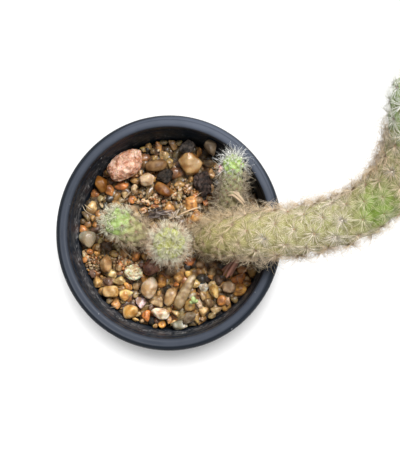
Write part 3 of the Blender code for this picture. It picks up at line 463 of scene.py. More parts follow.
# middle x and y, length, width, turn in degrees, colour
SEEN_PEBBLES = [
    (-10.7, 40.7, 3.1, 3.1, 0, "tan"), (-5.9, 39.3, 4.4, 2.9, 90, "amber"),
    (-3.7, 42.1, 4.0, 2.2, 0, "grey"), (-3.2, 35.1, 5.4, 4.5, -20, "yellow"),
    (-7.5, 34.1, 2.7, 2.7, 0, "tan"), (-0.5, 31.9, 4.9, 2.9, 110, "tan"), (0.7, 40.2, 4.9, 3.1, 110, "tan"),
    (-10.9, 37.8, 2.2, 2.2, 0, "black"), (-8.7, 37.3, 2.7, 2.5, 90, "brown"),
    (-27.8, 20.1, 5.8, 5.6, 90, "orange"), (-22.3, 21.8, 6.1, 4.4, 10, "orange"),
    (-31.8, 15.8, 4.0, 3.6, 90, "grey"), (-31.3, 13.1, 2.7, 1.8, 90, "cream"),
    (-16.5, 20.1, 4.5, 2.9, 90, "cream"), (-16.5, 24.0, 3.9, 3.4, -20, "olive"),
    (-14.1, 27.6, 2.7, 2.7, 0, "tan"), (-16.6, 26.7, 4.0, 2.7, 0, "orange"),
    (-20.6, 17.5, 3.4, 3.1, 0, "pink"), (-17.4, 15.5, 3.8, 3.8, 0, "orange"),
    (-14.8, 14.5, 2.2, 2.0, 90, "cream"), (-12.5, 14.8, 2.2, 2.0, 90, "cream"),
    (-10.6, 14.5, 2.2, 2.0, 0, "cream"), (-6.8, 17.4, 2.2, 2.2, 0, "cream"),
    (-7.2, 12.8, 4.5, 2.7, 10, "orange"), (3.6, 22.2, 4.9, 3.1, 10, "tan"),
    (3.6, 16.9, 4.0, 3.1, 110, "grey"), (8.6, 13.8, 6.3, 5.6, 80, "amber"),
    (7.1, 21.4, 1.6, 1.6, 0, "cream"), (8.3, 20.2, 1.9, 1.9, 0, "cream"), (3.9, 19.3, 1.7, 1.7, 0, "cream"),
    (-24.9, 13.1, 4.0, 3.6, 90, "tan"), (-12.3, 10.7, 4.0, 2.7, 10, "amber"),
    (-27.5, -1.7, 5.4, 3.1, 10, "tan"), (-20.7, -8.2, 5.4, 4.5, 90, "olive"),
    (-15.6, -9.9, 4.5, 4.0, 90, "orange"), (-29.2, -5.7, 5.4, 4.5, 0, "mauve"),
    (-38.0, 8.3, 5.4, 2.5, 120, "brown"), (-35.1, 7.3, 2.7, 2.2, 90, "tan"),
    (-34.3, 4.4, 2.7, 2.2, 90, "orange"), (-33.5, 2.7, 5.4, 3.6, 30, "mauve"),
    (-39.7, 5.9, 2.2, 2.2, 0, "brown"), (-32.9, -5.6, 2.7, 2.2, 70, "pink"),
    (-38.9, -8.6, 2.9, 2.2, 80, "cream"), (-36.4, -7.4, 3.1, 2.7, 90, "orange"),
    (-33.3, -8.9, 2.9, 2.9, 0, "amber"), (-39.4, -11.0, 3.6, 2.9, 90, "orange"),
    (-35.0, -12.0, 2.9, 2.7, 0, "amber"), (-35.0, -17.3, 4.0, 3.6, -40, "mauve"),
    (-34.2, -21.6, 5.2, 4.8, 90, "tan"), (-28.5, -21.1, 4.5, 3.4, -10, "mauve"),
    (-23.2, -20.6, 5.8, 4.0, 0, "yellow"), (-19.4, -23.4, 4.0, 3.6, 0, "amber"),
    (-15.4, -23.4, 3.4, 3.4, 0, "grey"), (-15.8, -26.7, 3.6, 2.7, 90, "grey"),
    (-32.2, -26.7, 4.5, 4.0, 60, "tan"), (-28.6, -30.7, 3.1, 3.1, 0, "grey"),
    (-26.0, -32.6, 4.3, 4.3, 0, "tan"), (-13.5, -30.6, 4.8, 4.8, 0, "white"),
    (-6.2, -29.7, 6.7, 4.9, -30, "pink"), (-4.2, -20.7, 6.3, 4.3, 90, "amber"),
    (-1.7, -24.3, 3.6, 3.4, 0, "black"), (-0.2, -16.1, 5.8, 4.9, 0, "brown"),
    (3.4, -19.1, 5.6, 4.9, 90, "olive"), (-10.9, -36.3, 4.9, 4.5, 110, "orange"),
    (-13.3, -39.1, 3.0, 3.0, 0, "grey"), (-16.1, -38.1, 3.1, 2.0, -20, "tan"),
    (-20.5, -38.1, 4.5, 2.2, 35, "pink"), (-6.5, -38.5, 3.1, 2.7, 0, "mauve"),
    (-4.3, -40.2, 3.6, 3.4, 0, "amber"), (-7.2, -41.0, 2.2, 2.2, 0, "tan"),
    (-1.0, -38.1, 3.4, 2.2, 90, "tan"), (1.9, -35.2, 3.4, 3.1, 0, "yellow"),
    (8.3, -31.4, 5.6, 4.9, 90, "olive"), (12.2, -31.1, 4.0, 2.7, 110, "cream"),
    (14.5, -34.6, 4.4, 4.0, 90, "yellow"), (16.7, -30.8, 4.6, 4.4, 90, "brown"),
    (14.7, -23.6, 4.0, 4.0, 90, "white"), (14.3, -27.2, 4.3, 3.0, 105, "grey"),
    (10.8, -37.4, 4.9, 3.6, 100, "tan"), (13.5, -20.0, 4.5, 4.0, 90, "black"),
    (14.9, -15.9, 4.0, 3.0, 80, "tan"), (18.4, -16.3, 4.4, 3.5, 70, "grey"),
    (17.4, -19.0, 2.5, 2.2, 0, "amber"), (2.3, -22.3, 2.5, 2.0, 0, "orange"),
    (21.1, -20.3, 5.2, 3.8, 110, "mauve"), (29.8, -19.9, 6.5, 5.2, 10, "orange"),
    (31.4, -15.4, 4.4, 3.6, 30, "orange"), (36.3, -16.5, 6.3, 4.4, 90, "olive"),
    (30.7, -24.8, 6.3, 5.2, 10, "amber"), (22.4, -29.4, 5.2, 4.5, 125, "orange"),
    (24.8, -29.9, 3.8, 2.5, 90, "pink"), (28.0, -29.1, 3.3, 3.1, 90, "brown"),
    (20.2, -33.9, 5.2, 3.0, 10, "grey"), (18.1, -36.1, 3.5, 3.0, 0, "grey"),
    (13.5, -37.6, 1.8, 1.8, 0, "pink"), (12.4, 36.8, 4.5, 2.7, 90, "amber"),
    (16.6, 31.7, 5.8, 3.6, -10, "brown"), (17.8, 27.2, 4.9, 2.9, 100, "tan"),
    (17.8, 20.8, 4.9, 2.5, 100, "amber"), (12.4, 14.9, 3.4, 2.9, 0, "pink"),
    (15.4, 13.8, 2.9, 2.5, 90, "orange"), (17.1, 15.6, 2.2, 2.2, 0, "grey"),
    (10.6, 17.2, 2.7, 2.2, 0, "orange"), (37.8, 17.1, 4.3, 4.3, 0, "brown"),
    (36.8, 13.7, 3.1, 3.1, 0, "olive"), (33.2, -12.3, 3.6, 2.7, 0, "brown"),
    (22.6, -14.2, 4.0, 3.1, 0, "black"), (-23.0, -14.8, 3.6, 3.6, 0, "grey"),
    (-22.7, -13.5, 2.2, 2.2, 0, "orange"), (-31.8, 22.4, 2.7, 2.7, 0, "tan"),
    (-26.0, 25.8, 3.1, 2.2, -30, "pink"), (-12.6, 38.0, 3.6, 2.7, -20, "tan"),
    (3.0, 42.2, 3.6, 2.7, 0, "grey"), (-26.3, -1.7, 6.5, 3.5, 15, "orange"),
    (-24.3, 12.5, 5.0, 3.0, 0, "tan"), (-17.8, 11.6, 6.0, 3.0, -15, "pink"),
    (-12.5, 10.3, 3.5, 2.5, 0, "cream"),
]
SEEN_RISE = 1.9                            # how far the top of a placed one stands over the bed
SEEN_SWELL = 1.06                          # and its size, as a share of the table's
# x, y and radius kept free for the stems and for the slag lump
ROOTS = [(14.5, -2.2, 7.0), (-1.8, -5.6, 5.6), (-13.0, -1.4, 5.4), (25.9, 10.6, 6.0)]
SLAG_ROOM = (15.0, 23.4, 4.0)
STONE_ROOM = 0.95                          # the part of a large stone's half width that is kept free
LOOSE_SIZES = [(2.9, 500), (2.4, 800), (2.0, 900), (1.6, 800), (1.2, 400)]  # radius and tries
PACKING = 0.84                             # how close two may come, as a share of their radii together
LOWER_DROP, LOWER_SPACING = 2.2, 3.6       # how far under the bed the next layer lies, and its spacing
LOOSE_LIGHT, LOWER_LAYER_SHADE = 0.98, 0.40      # and how light each of the two is; the lower layer's darkness is painted shade in the gaps
SOIL_DROP, SOIL_WAVES = 3.2, 0.22          # how far under the bed the dark mix lies, and its waves
SOIL_EDGE, SOIL_FOOT = MOUTH_RADIUS - 2.75, 60.3  # its radius and the height of its underside
PEBBLE_PLANES = 9                          # flat sides that bound each pebble


def bed_height(x, y):
    """The gravel's level: crowned in the middle and lower beside the wall."""
    return BED_CROWN - BED_FALL * (x * x + y * y) / MOUTH_RADIUS ** 2


def ball(n):
    """Even directions over a sphere: the six sides of a cube, each an n by n grid of two angles, pushed
    out to a sphere and joined along the cube's edges. Returns the directions and the quads."""
    angle = np.tan(np.linspace(-np.pi / 4, np.pi / 4, n + 1))
    u, v = np.meshgrid(angle, angle, indexing="ij")
    one = np.ones_like(u)
    sides = [(one, u, v), (-one, v, u), (v, one, u), (u, -one, v), (u, v, one), (v, u, -one)]
    spots = np.concatenate([np.stack(side, -1).reshape(-1, 3) for side in sides])
    quads = grid_faces(n + 1, n + 1, closed=False)
    quads = np.concatenate([quads + k * (n + 1) ** 2 for k in range(6)])
    spots /= np.linalg.norm(spots, axis=1, keepdims=True)
    _, first, which = np.unique(np.round(spots, 6), axis=0, return_index=True, return_inverse=True)
    quads, spots = which.ravel()[quads], spots[first]
    a, b, c = (spots[quads[:, k]] for k in (0, 1, 2))
    inward = np.sum(np.cross(b - a, c - a) * a, axis=1) < 0
    quads[inward] = quads[inward][:, ::-1]
    return spots, quads


def even_directions(count):
    """Directions spread evenly over a sphere along a golden spiral."""
    k = np.arange(count) + 0.5
    z = 1 - 2 * k / count
    around = np.pi * (1 + 5 ** 0.5) * k
    ring = np.sqrt(1 - z * z)
    return np.stack([ring * np.cos(around), ring * np.sin(around), z], axis=1)


def worn(directions, planes, reach, power):
    """How far a worn stone reaches along each direction: a block bounded by flat planes at their
    reaches, with its edges rubbed round. It is one over the p-norm, over the planes that face the
    direction, of the cosine to the plane over the plane's reach; a higher power leaves crisper edges."""
    facing = np.einsum("vd,...kd->...vk", directions, planes) / reach[..., None, :]
    return (np.maximum(facing, 0) ** power).sum(-1) ** (-1 / power.reshape(power.shape[:-1]))


def pebbles(rng, rows, n):
    """Many worn stones as one array of points and one of quads: each is the same ball of directions,
    reaching as far as worn() says, fitted to its length, width and thickness, tipped, turned and put
    in its place. A row is x, y, z, length, width, thickness and turn."""
    rows = np.asarray(rows, float)
    count = len(rows)
    directions, quads = ball(n)
    normals = even_directions(PEBBLE_PLANES) + rng.normal(0, 0.3, (count, PEBBLE_PLANES, 3))
    normals /= np.linalg.norm(normals, axis=-1, keepdims=True)
    power = rng.uniform(6, 18, (count, 1, 1))
    reach = worn(directions, normals, rng.uniform(0.68, 1.0, (count, PEBBLE_PLANES)), power)
    points = directions * reach[..., None]
    low, high = points.min(axis=1, keepdims=True), points.max(axis=1, keepdims=True)
    points = (points - (low + high) / 2) / (high - low) * rows[:, None, 3:6]
    for angle, (a, b) in ((rng.normal(0, 0.22, count), (1, 2)), (rng.normal(0, 0.16, count), (2, 0)),
                          (rows[:, 6], (0, 1))):
        cos, sin = np.cos(angle)[:, None], np.sin(angle)[:, None]
        first, second = points[..., a].copy(), points[..., b].copy()
        points[..., a], points[..., b] = first * cos - second * sin, first * sin + second * cos
    points += rows[:, None, :3]
    faces = quads + np.arange(count)[:, None, None] * len(directions)
    return points.reshape(-1, 3), faces.reshape(-1, 4), len(directions)


def stone_grain_group():
    """What all the stones share: soft blotches, fine grain and small dark pits, as three masks."""
    group = bpy.data.node_groups.new("stone_grain", "ShaderNodeTree")
    for label, kind in (("Where", "NodeSocketVector"), ("Size", "NodeSocketFloat")):
        group.interface.new_socket(label, in_out="INPUT", socket_type=kind)
    for label in ("Blotches", "Grain", "Pits"):
        group.interface.new_socket(label, in_out="OUTPUT", socket_type="NodeSocketFloat")
    entry = group.nodes.new("NodeGroupInput").outputs
    out = group.nodes.new("NodeGroupOutput")
    per_metre = combine(group, "DIVIDE", 1.0, entry["Size"])
    for label, finer, detail, low, high in (("Blotches", 1.6, 3, 0.36, 0.64), ("Grain", 14, 5, 0.3, 0.7)):
        scale = combine(group, "MULTIPLY", per_metre, finer)
        cloud = node(group, "TexNoise", {"Vector": entry["Where"], "Scale": scale, "Detail": detail})
        group.links.new(between(group, cloud.outputs["Fac"], low, high), out.inputs[label])
    scale = combine(group, "MULTIPLY", per_metre, 7)
    cells = node(group, "TexVoronoi", {"Vector": entry["Where"], "Scale": scale}, feature="SMOOTH_F1")
    scale = combine(group, "MULTIPLY", per_metre, 3)
    lot = node(group, "TexNoise", {"Vector": entry["Where"], "Scale": scale})
    pit = combine(group, "MULTIPLY", between(group, cells.outputs["Distance"], 0.32, 0.12),
                  between(group, lot.outputs["Fac"], 0.52, 0.62))
    group.links.new(pit, out.inputs["Pits"])
    return group


STONE_GRAIN = stone_grain_group()


def stone_grain(tree, where, size):
    """The grain group placed in a material, for patterns of a size in metres."""
    made = node(tree, "Group", node_tree=STONE_GRAIN)
    tree.links.new(where, made.inputs["Where"])
    made.inputs["Size"].default_value = size
    return made.outputs["Blotches"], made.outputs["Grain"], made.outputs["Pits"]


def gravel_finish():
    """Water-worn quartz and chert: each pebble has its own colour, cloudy and a little clear inside,
    stained in the pores and half polished."""
    material, tree, shader = finish("river_gravel", (0.45, 0.28, 0.14), 0.4, Subsurface_Weight=0.45,
                                    Coat_Weight=0.2, Coat_Roughness=0.22, Subsurface_Radius=CLEAR_DEPTHS)
    own = attribute(tree, "pebble_colour", "Color")
    where = places(tree)
    blotches, grain, pits = stone_grain(tree, where, 0.0035)
    light = mixed(tree, 1.0, own, PALER, "MULTIPLY")
    deep = mixed(tree, 1.0, own, DEEPER, "MULTIPLY")
    colour = mixed(tree, blotches, deep, light)
    colour = mixed(tree, combine(tree, "MULTIPLY", grain, 0.12), colour, DUST)
    colour = mixed(tree, combine(tree, "MULTIPLY", pits, 0.35), colour, PORES)
    tree.links.new(colour, shader.inputs["Base Color"])
    tree.links.new(between(tree, grain, 0.0, 1.0, 0.26, 0.5), shader.inputs["Roughness"])
    height = combine(tree, "SUBTRACT", combine(tree, "MULTIPLY", grain, 0.25), pits)
    bumps(tree, shader, height, 0.00018, 0.4)
    return material


def footprint(node_name):
    """A circle, as x, y and radius, under a CAD stone seen from above."""
    low, high = (np.array(corner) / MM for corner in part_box(node_name))
    middle, half = (low + high) / 2, (high - low) / 2
    return middle[0], middle[1], min(half[0], half[1]) * STONE_ROOM


GRAVEL_FINISH = gravel_finish()
stones = [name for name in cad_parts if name.startswith("stone_")]
taken = [footprint(name) for name in stones] + ROOTS + [SLAG_ROOM]
rng = np.random.default_rng(5)


def tinted(colours, spread):
    """The colours, each made a little lighter or darker and a little redder or greener."""
    colours = np.array(colours)
    light = rng.normal(1.0, spread, (len(colours), 1)) * rng.normal(1.0, 0.04, (len(colours), 3))
    return np.clip(colours * light, 0.01, 0.9)


def far_side_shade(rows, light, fall):
    """How light each pebble is: a level that falls in proportion to y, towards the far side, as painted shade
    from the pot wall there.
    """
    return light - fall * np.array(rows)[:, 1:2]


rows = []
for x, y, length, width, degrees, _ in SEEN_PEBBLES:
    from_middle = np.hypot(x / (1 - BED_OVAL), y / (1 + BED_OVAL))
    inward = 1 - max(0, from_middle + min(length, width) / 2 - WALL_AT_GRAVEL) / from_middle
    x, y = x * inward, y * inward
    thickness = width * rng.uniform(0.75, 0.95)
    level = bed_height(x, y) + SEEN_RISE + rng.uniform(-0.3, 0.4) - thickness / 2
    rows.append((x, y, level, length * SEEN_SWELL, width * SEEN_SWELL, thickness, np.radians(degrees)))
    taken.append((x, y, (length + width) / 4))
points, faces, each = pebbles(rng, rows, 5)
gravel = piece("gravel_pebbles", inside_wall(points), faces, GRAVEL_FINISH, ["gravel_bed"])
# painted shade: the placed pebbles are darker towards the far side, where the pot wall shades them
colours = tinted([PEBBLE_COLOURS[row[-1]] for row in SEEN_PEBBLES], 0.07) * far_side_shade(rows, 0.99, 0.0045)
paint(gravel, "pebble_colour", np.repeat(colours, each, axis=0))

# the loose ones, each in the first free place that a few hundred tries find
rows = []
circles = np.array(taken)
for size, tries in LOOSE_SIZES:
    for x, y in rng.uniform(-BED_EDGE, BED_EDGE, (tries, 2)):
        if np.hypot(x, y) > BED_EDGE - size * 0.8:
            continue
        if np.any(np.hypot(circles[:, 0] - x, circles[:, 1] - y) < (circles[:, 2] + size) * PACKING):
            continue
        circles = np.vstack([circles, (x, y, size)])
        longer, thickness = rng.uniform(1.0, 1.5), 2 * size * rng.uniform(0.6, 0.85)
        level = bed_height(x, y) + rng.uniform(0.2, 1.6) - thickness / 2
        rows.append((x, y, level, 2 * size * longer, 2 * size * 0.95, thickness, rng.uniform(0, np.pi)))

# one more layer under those, which shows between them, darker as painted shade in the gaps
loose_count = len(rows)
grid = np.arange(-BED_EDGE, BED_EDGE, LOWER_SPACING)
below = np.stack(np.meshgrid(grid, grid), -1).reshape(-1, 2) + rng.uniform(-1.1, 1.1, (len(grid) ** 2, 2))
below = below[np.hypot(*below.T) < BED_EDGE - 1.6]
clear_of_roots = [np.hypot(below[:, 0] - x, below[:, 1] - y) > r - 1 for x, y, r in ROOTS]
for x, y in below[np.all(clear_of_roots, axis=0)]:
    size = rng.uniform(2.2, 2.9)
    level = bed_height(x, y) - LOWER_DROP + rng.uniform(-0.6, 0.7)
    rows.append((x, y, level, 2.4 * size, 2 * size, 1.5 * size, rng.uniform(0, np.pi)))
points, faces, each = pebbles(rng, rows, 3)
fill = piece("gravel_fill", inside_wall(points), faces, GRAVEL_FINISH, ["gravel_bed"])
colours = [PEBBLE_COLOURS[LOOSE_COLOURS[k]] for k in rng.integers(len(LOOSE_COLOURS), size=len(rows))]
# painted shade: the lower layer is darker, for the gaps between the pebbles above
light = np.where(np.arange(len(rows)) < loose_count, LOOSE_LIGHT, LOWER_LAYER_SHADE)[:, None]
# painted shade: darker towards the far side, where the pot wall shades the gravel
light = light * far_side_shade(rows, 1.05, 0.013)
paint(fill, "pebble_colour", np.repeat(tinted(colours, 0.16) * light, each, axis=0))

# dark mix between the pebbles, a disc raised and pitted by three crossed waves, closed underneath
rings, spokes = 40, 120
r = np.linspace(0, 1, rings)[:, None] * SOIL_EDGE
a = np.linspace(0, 2 * np.pi, spokes, endpoint=False)[None, :]
x, y = r * np.cos(a), r * np.sin(a)
waves = np.sin(1.9 * x + 0.7 * y) + np.sin(1.3 * y - 0.9 * x + 1) + np.sin(2.7 * x - 2.2 * y + 2)
top = np.stack([x, y, bed_height(x, y) - SOIL_DROP + SOIL_WAVES * waves], -1)
rim = top[-1] * (1, 1, 0) + (0, 0, SOIL_FOOT)
surface = np.vstack([rim * (0, 0, 1), rim, top[::-1].reshape(-1, 3)])
piece("gravel_mix_between", inside_wall(surface), grid_faces(rings + 2, spokes), SOIL_FINISH,
      ["gravel_bed"], merge=0.001)

# Grit: crushed fines of the same stone that have sifted into the hollows, thickest in four patches, where
# they lie nearly level with the pebbles.
GRIT_COUNT, PATCH_COUNT = 720, 130
GRIT_PATCHES = [(-8, 16, 9, 5), (-36, -12, 5, 5), (4, 19, 8, 5), (-20, -12, 6, 4)]  # x, y and spreads
PATCH_RISE = 0.9
GRIT_COLOURS = ["orange", "amber", "cream", "tan", "cream", "brown", "pink"]
spots = rng.uniform(-BED_EDGE, BED_EDGE, (GRIT_COUNT, 2))
for k, (x, y, wide, deep) in enumerate(GRIT_PATCHES):
    patch = slice(k * PATCH_COUNT, (k + 1) * PATCH_COUNT)
    spots[patch] = rng.normal((x, y), (wide / 2, deep / 2), (PATCH_COUNT, 2))
spots = spots[np.hypot(*spots.T) < BED_EDGE - 0.8]
size = rng.uniform(0.35, 0.8, len(spots))
level = bed_height(*spots.T) + rng.uniform(-1.6, 0.5, len(spots))
level[:len(GRIT_PATCHES) * PATCH_COUNT] += PATCH_RISE
rows = np.column_stack([spots, level, 2.4 * size, 2 * size, 1.8 * size, rng.uniform(0, np.pi, len(spots))])
points, faces, each = pebbles(rng, rows, 2)
grit = piece("gravel_grit", inside_wall(points), faces, GRAVEL_FINISH, ["gravel_bed"])
shade = np.array([PEBBLE_COLOURS[GRIT_COLOURS[k]] for k in rng.integers(len(GRIT_COLOURS), size=len(spots))])
paint(grit, "pebble_colour", np.repeat(shade * rng.uniform(0.5, 0.85, (len(shade), 1)), each, axis=0))

# The larger stones lie on the gravel, each one water-worn or broken stone with its own shape and finish:
# a lump of pink granite, chert and quartz in tan, amber and cream, a long finger pebble, and black slag.
# name, length, width, thickness, turn in degrees, edge power, lumps and slot; then the deep colour, the
# light colour and the roughness
STONES = [
    ("pink_granite", 18.0, 12.0, 10.0, 35, 5, 0.22, "pink_granite",
     (0.48, 0.175, 0.085), (0.80, 0.54, 0.41), 0.36),
    ("tan_big", 11.0, 9.0, 7.5, -60, 11, 0.08, "tan_stone",
     (0.278, 0.126, 0.0305), (0.431, 0.26, 0.0997), 0.38),
    ("tan_oblong", 10.0, 5.4, 5.0, 10, 8, 0.0429, "tan_stone",
     (0.142, 0.0698, 0.024), (0.235, 0.132, 0.0545), 0.5),
    ("black_back", 7.4, 6.8, 5.0, 0, 16, 0.3, "black_stone",
     (0.0082, 0.00649, 0.00624), (0.0575, 0.0448, 0.0374), 0.5),
    ("black_front", 8.6, 6.8, 5.0, 20, 16, 0.4, "black_stone",
     (0.0056, 0.00406, 0.00332), (0.0381, 0.027, 0.0198), 0.48),
    ("cream_facet", 6.9, 6.0, 5.2, 0, 18, 0.0693, "cream_stone",
     (0.419, 0.254, 0.131), (0.645, 0.477, 0.314), 0.5),
    ("orange_left", 8.0, 5.4, 5.0, -70, 9, 0.0429, "amber_stone",
     (0.142, 0.0482, 0.00581), (0.229, 0.0947, 0.0164), 0.38),
    ("orange_slab", 8.7, 4.8, 4.0, -35, 10, 0.0561, "amber_stone",
     (0.157, 0.0491, 0.00659), (0.253, 0.105, 0.0193), 0.45),
    ("grey_flat", 8.0, 7.6, 4.0, 0, 7, 0.03, "grey_stone",
     (0.319, 0.237, 0.142), (0.37, 0.345, 0.258), 0.35),
    ("tan_block", 8.0, 5.4, 5.4, 85, 14, 0.0429, "tan_stone",
     (0.287, 0.146, 0.0517), (0.463, 0.274, 0.113), 0.45),
    # cream_rough is painted brighter than its stone, as painted light offsetting the left stem's shadow on it
    ("cream_rough", 8.5, 7.6, 5.6, 0, 12, 0.3, "cream_stone",
     (0.71, 0.472, 0.252), (0.95, 0.95, 0.676), 0.5),
    ("purple_brown", 8.7, 6.9, 5.4, 30, 22, 0.0693, "purple_stone",
     (0.152, 0.0585, 0.038), (0.447, 0.2, 0.13), 0.34),
    ("tan_large", 9.7, 7.0, 6.0, 65, 7, 0.0429, "tan_stone",
     (0.525, 0.326, 0.147), (0.707, 0.565, 0.414), 0.34),
    ("yellow_tan", 7.6, 5.4, 5.0, -5, 8, 0.0429, "tan_stone",
     (0.503, 0.27, 0.0746), (0.697, 0.467, 0.199), 0.38),
    ("orange_front", 6.0, 5.2, 4.6, 0, 9, 0.0429, "amber_stone",
     (0.782, 0.396, 0.118), (0.95, 0.778, 0.34), 0.36),
    ("amber", 7.2, 6.1, 5.2, 20, 7, 0.0297, "amber_stone",
     (0.628, 0.324, 0.0723), (0.85, 0.55, 0.228), 0.36),
    ("finger", 17.0, 4.8, 4.6, 61, 8, 0.04, "tan_stone",
     (0.262, 0.165, 0.0677), (0.436, 0.315, 0.172), 0.4),
    ("tooth", 8.6, 4.7, 4.4, 70, 8, 0.0297, "tan_stone",
     (0.375, 0.218, 0.0867), (0.519, 0.346, 0.164), 0.4),
    ("cream_brown", 8.3, 5.0, 4.6, -10, 8, 0.0429, "cream_stone",
     (0.634, 0.401, 0.237), (0.95, 0.856, 0.682), 0.36),
    ("green_grey", 7.2, 4.8, 4.4, 5, 12, 0.03, "grey_stone",
     (0.232, 0.22, 0.142), (0.402, 0.371, 0.298), 0.22),
    ("olive_grey", 6.5, 4.8, 4.4, 25, 14, 0.0429, "grey_stone",
     (0.173, 0.129, 0.0775), (0.314, 0.233, 0.155), 0.4),
    ("ochre", 6.5, 4.4, 4.2, -70, 8, 0.0429, "amber_stone",
     (0.445, 0.244, 0.0621), (0.714, 0.505, 0.195), 0.36),
    ("pinkish_grey", 6.1, 5.4, 4.6, 0, 10, 0.0429, "grey_stone",
     (0.253, 0.146, 0.0769), (0.415, 0.274, 0.161), 0.45),
    # grey_back is painted darker, as painted shade where it lies partly hidden at the back
    ("grey_back", 8.0, 5.4, 5.0, -65, 9, 0.0561, "grey_stone",
     (0.0685, 0.0464, 0.0268), (0.137, 0.101, 0.0636), 0.55),
]
LUMPY = 0.2                                # a stone with higher lumps than this is rough
STONE_GRID, ROUGH_GRID = 20, 34            # quads along each side of the cube behind its shape
STONE_PLANES = 15                          # flat sides that bound it
STONE_WAVES, ROUGH_WAVES = 14, 40          # and waves that ripple them
CLEAR_FROM = 0.08                          # stone paler than this lets some light in
CLEARNESS, DULL_SHINE = 0.55, 0.28         # how much it lets in, and the shine of a dark one
STAIN = (0.60, 0.53, 0.46)                 # times its own colour
BLOOM = (0.30, 0.25, 0.17)                 # the weathered skin that lightens it in places
FINGER_POWER = 2.5
SMOOTH_PITS, ROUGH_PITS = 0.15, 0.8        # how dark its pits are


def rippled(directions, rng, waves, finest):
    """Uneven by up to about one: a sum of plane waves of random direction, pitch and phase over the
    sphere, the finer ones lower."""
    total = 0
    for k in range(waves):
        pitch = 2 + finest * k / waves
        way = rng.normal(size=3)
        way /= np.linalg.norm(way)
        total = total + np.sin(directions @ way * pitch + rng.uniform(0, 2 * np.pi)) / (1 + k) ** 0.6
    return total / waves ** 0.5


def stone_finish(name, size, deep, light, roughness, pitted):
    """One stone's own finish: its two colours in blotches, stained darker in places, with a paler bloom
    and dark pits. A smooth stone has broad clouds, and a rough one fine mottling and relief."""
    clear, rough = min(light) > CLEAR_FROM, pitted > 0.5
    material, tree, shader = finish(name + "_finish", deep, roughness, Subsurface_Radius=CLEAR_DEPTHS,
                                    Subsurface_Weight=CLEARNESS if clear else 0.0,
                                    Specular_IOR_Level=0.5 if clear else DULL_SHINE)
    where = places(tree)
    blotches, grain, pits = stone_grain(tree, where, size if rough else 2 * size)
    if rough:
        stain, mottle = noise(tree, where, 3.2 / size, 5, 0.6), noise(tree, where, 22 / size, 4)
        most, relief = 0.3, 0.85
    else:
        stain, mottle = noise(tree, where, 0.9 / size, 1.5, 0.3), noise(tree, where, 0.8 / size, 1)
        most, relief = 0.36, 0.2
    colour = mixed(tree, blotches, deep, light)
    darker = mixed(tree, 1.0, colour, STAIN, "MULTIPLY")
    colour = mixed(tree, between(tree, stain, 0.35, 0.62), darker, colour)
    paler = tuple(min(1.0, white + 0.78 * channel) for white, channel in zip(BLOOM, light))
    bloom = between(tree, mottle, 0.46, 0.70, 0.0, most if clear else 0.05)
    colour = mixed(tree, bloom, colour, paler)
    darkest = tuple(0.2 * channel for channel in deep)
    colour = mixed(tree, combine(tree, "MULTIPLY", pits, pitted), colour, darkest)
    tree.links.new(colour, shader.inputs["Base Color"])
    dull = between(tree, grain, 0.0, 1.0, roughness - 0.12, roughness + 0.12)
    tree.links.new(dull, shader.inputs["Roughness"])
    height = combine(tree, "SUBTRACT", combine(tree, "MULTIPLY", grain, 0.5), pits)
    bumps(tree, shader, height, 0.05 * size, relief)
    return material


for name, length, width, thickness, degrees, power, lumps, slot, deep, light, roughness in STONES:
    rough = lumps > LUMPY
    directions, quads = ball(ROUGH_GRID if rough else STONE_GRID)
    low, high = (np.array(corner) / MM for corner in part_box("stone_" + name))
    rng = np.random.default_rng([ord(letter) for letter in name])
    normals = even_directions(STONE_PLANES) + rng.normal(0, 0.25, (STONE_PLANES, 3))
    normals /= np.linalg.norm(normals, axis=1, keepdims=True)
    reach = worn(directions, normals, rng.uniform(0.76, 1.0, STONE_PLANES), np.array([[float(power)]]))
    if length > 1.7 * width:  # rolled into a finger: mostly one over the direction's own p-norm
        reach = reach ** 0.4 * (np.abs(directions) ** FINGER_POWER).sum(axis=1) ** (-1 / FINGER_POWER)
    waves = ROUGH_WAVES if rough else STONE_WAVES
    points = directions * (reach * (1 + lumps * rippled(directions, rng, waves, 1.2 * waves)))[:, None]
    top, bottom = points.max(axis=0), points.min(axis=0)
    points = (points - (top + bottom) / 2) / (top - bottom) * (length, width, thickness)
    cos, sin = np.cos(np.radians(degrees)), np.sin(np.radians(degrees))
    points = points @ np.array([[cos, sin, 0], [-sin, cos, 0], [0, 0, 1]])
    points[:, :2] += (low + high)[:2] / 2
    points[:, 2] += low[2] - points[:, 2].min()
    pits = ROUGH_PITS if rough else SMOOTH_PITS
    own_finish = stone_finish(name, width * MM / 2, deep, light, roughness, pits)
    piece(name + "_stone", inside_wall(points), quads, own_finish, ["stone_" + name])

# A lump of purple-black slag, rough and full of blowholes, lies loose behind the middle of the pot.
SLAG_PLACE, SLAG_RISE, SLAG_RADII = (13.8, 22.8), 1.4, (4.0, 6.0, 3.0)
SLAG_GRAIN, SLAG_PITS = 0.0026, 0.95
SLAG_DEEP, SLAG_LIGHT = (0.007, 0.004, 0.0035), (0.085, 0.055, 0.046)
directions, quads = ball(ROUGH_GRID)
rng = np.random.default_rng(11)
blocky = worn(directions, even_directions(9), rng.uniform(0.7, 1.0, 9), np.array([[14.0]]))
points = directions * (blocky * (1 + 0.5 * rippled(directions, rng, 60, 90)))[:, None] * SLAG_RADII
points += (*SLAG_PLACE, bed_height(*SLAG_PLACE) + SLAG_RISE)
slag_finish = stone_finish("slag", SLAG_GRAIN, SLAG_DEEP, SLAG_LIGHT, 0.45, SLAG_PITS)
piece("slag_lump", points, quads, slag_finish)

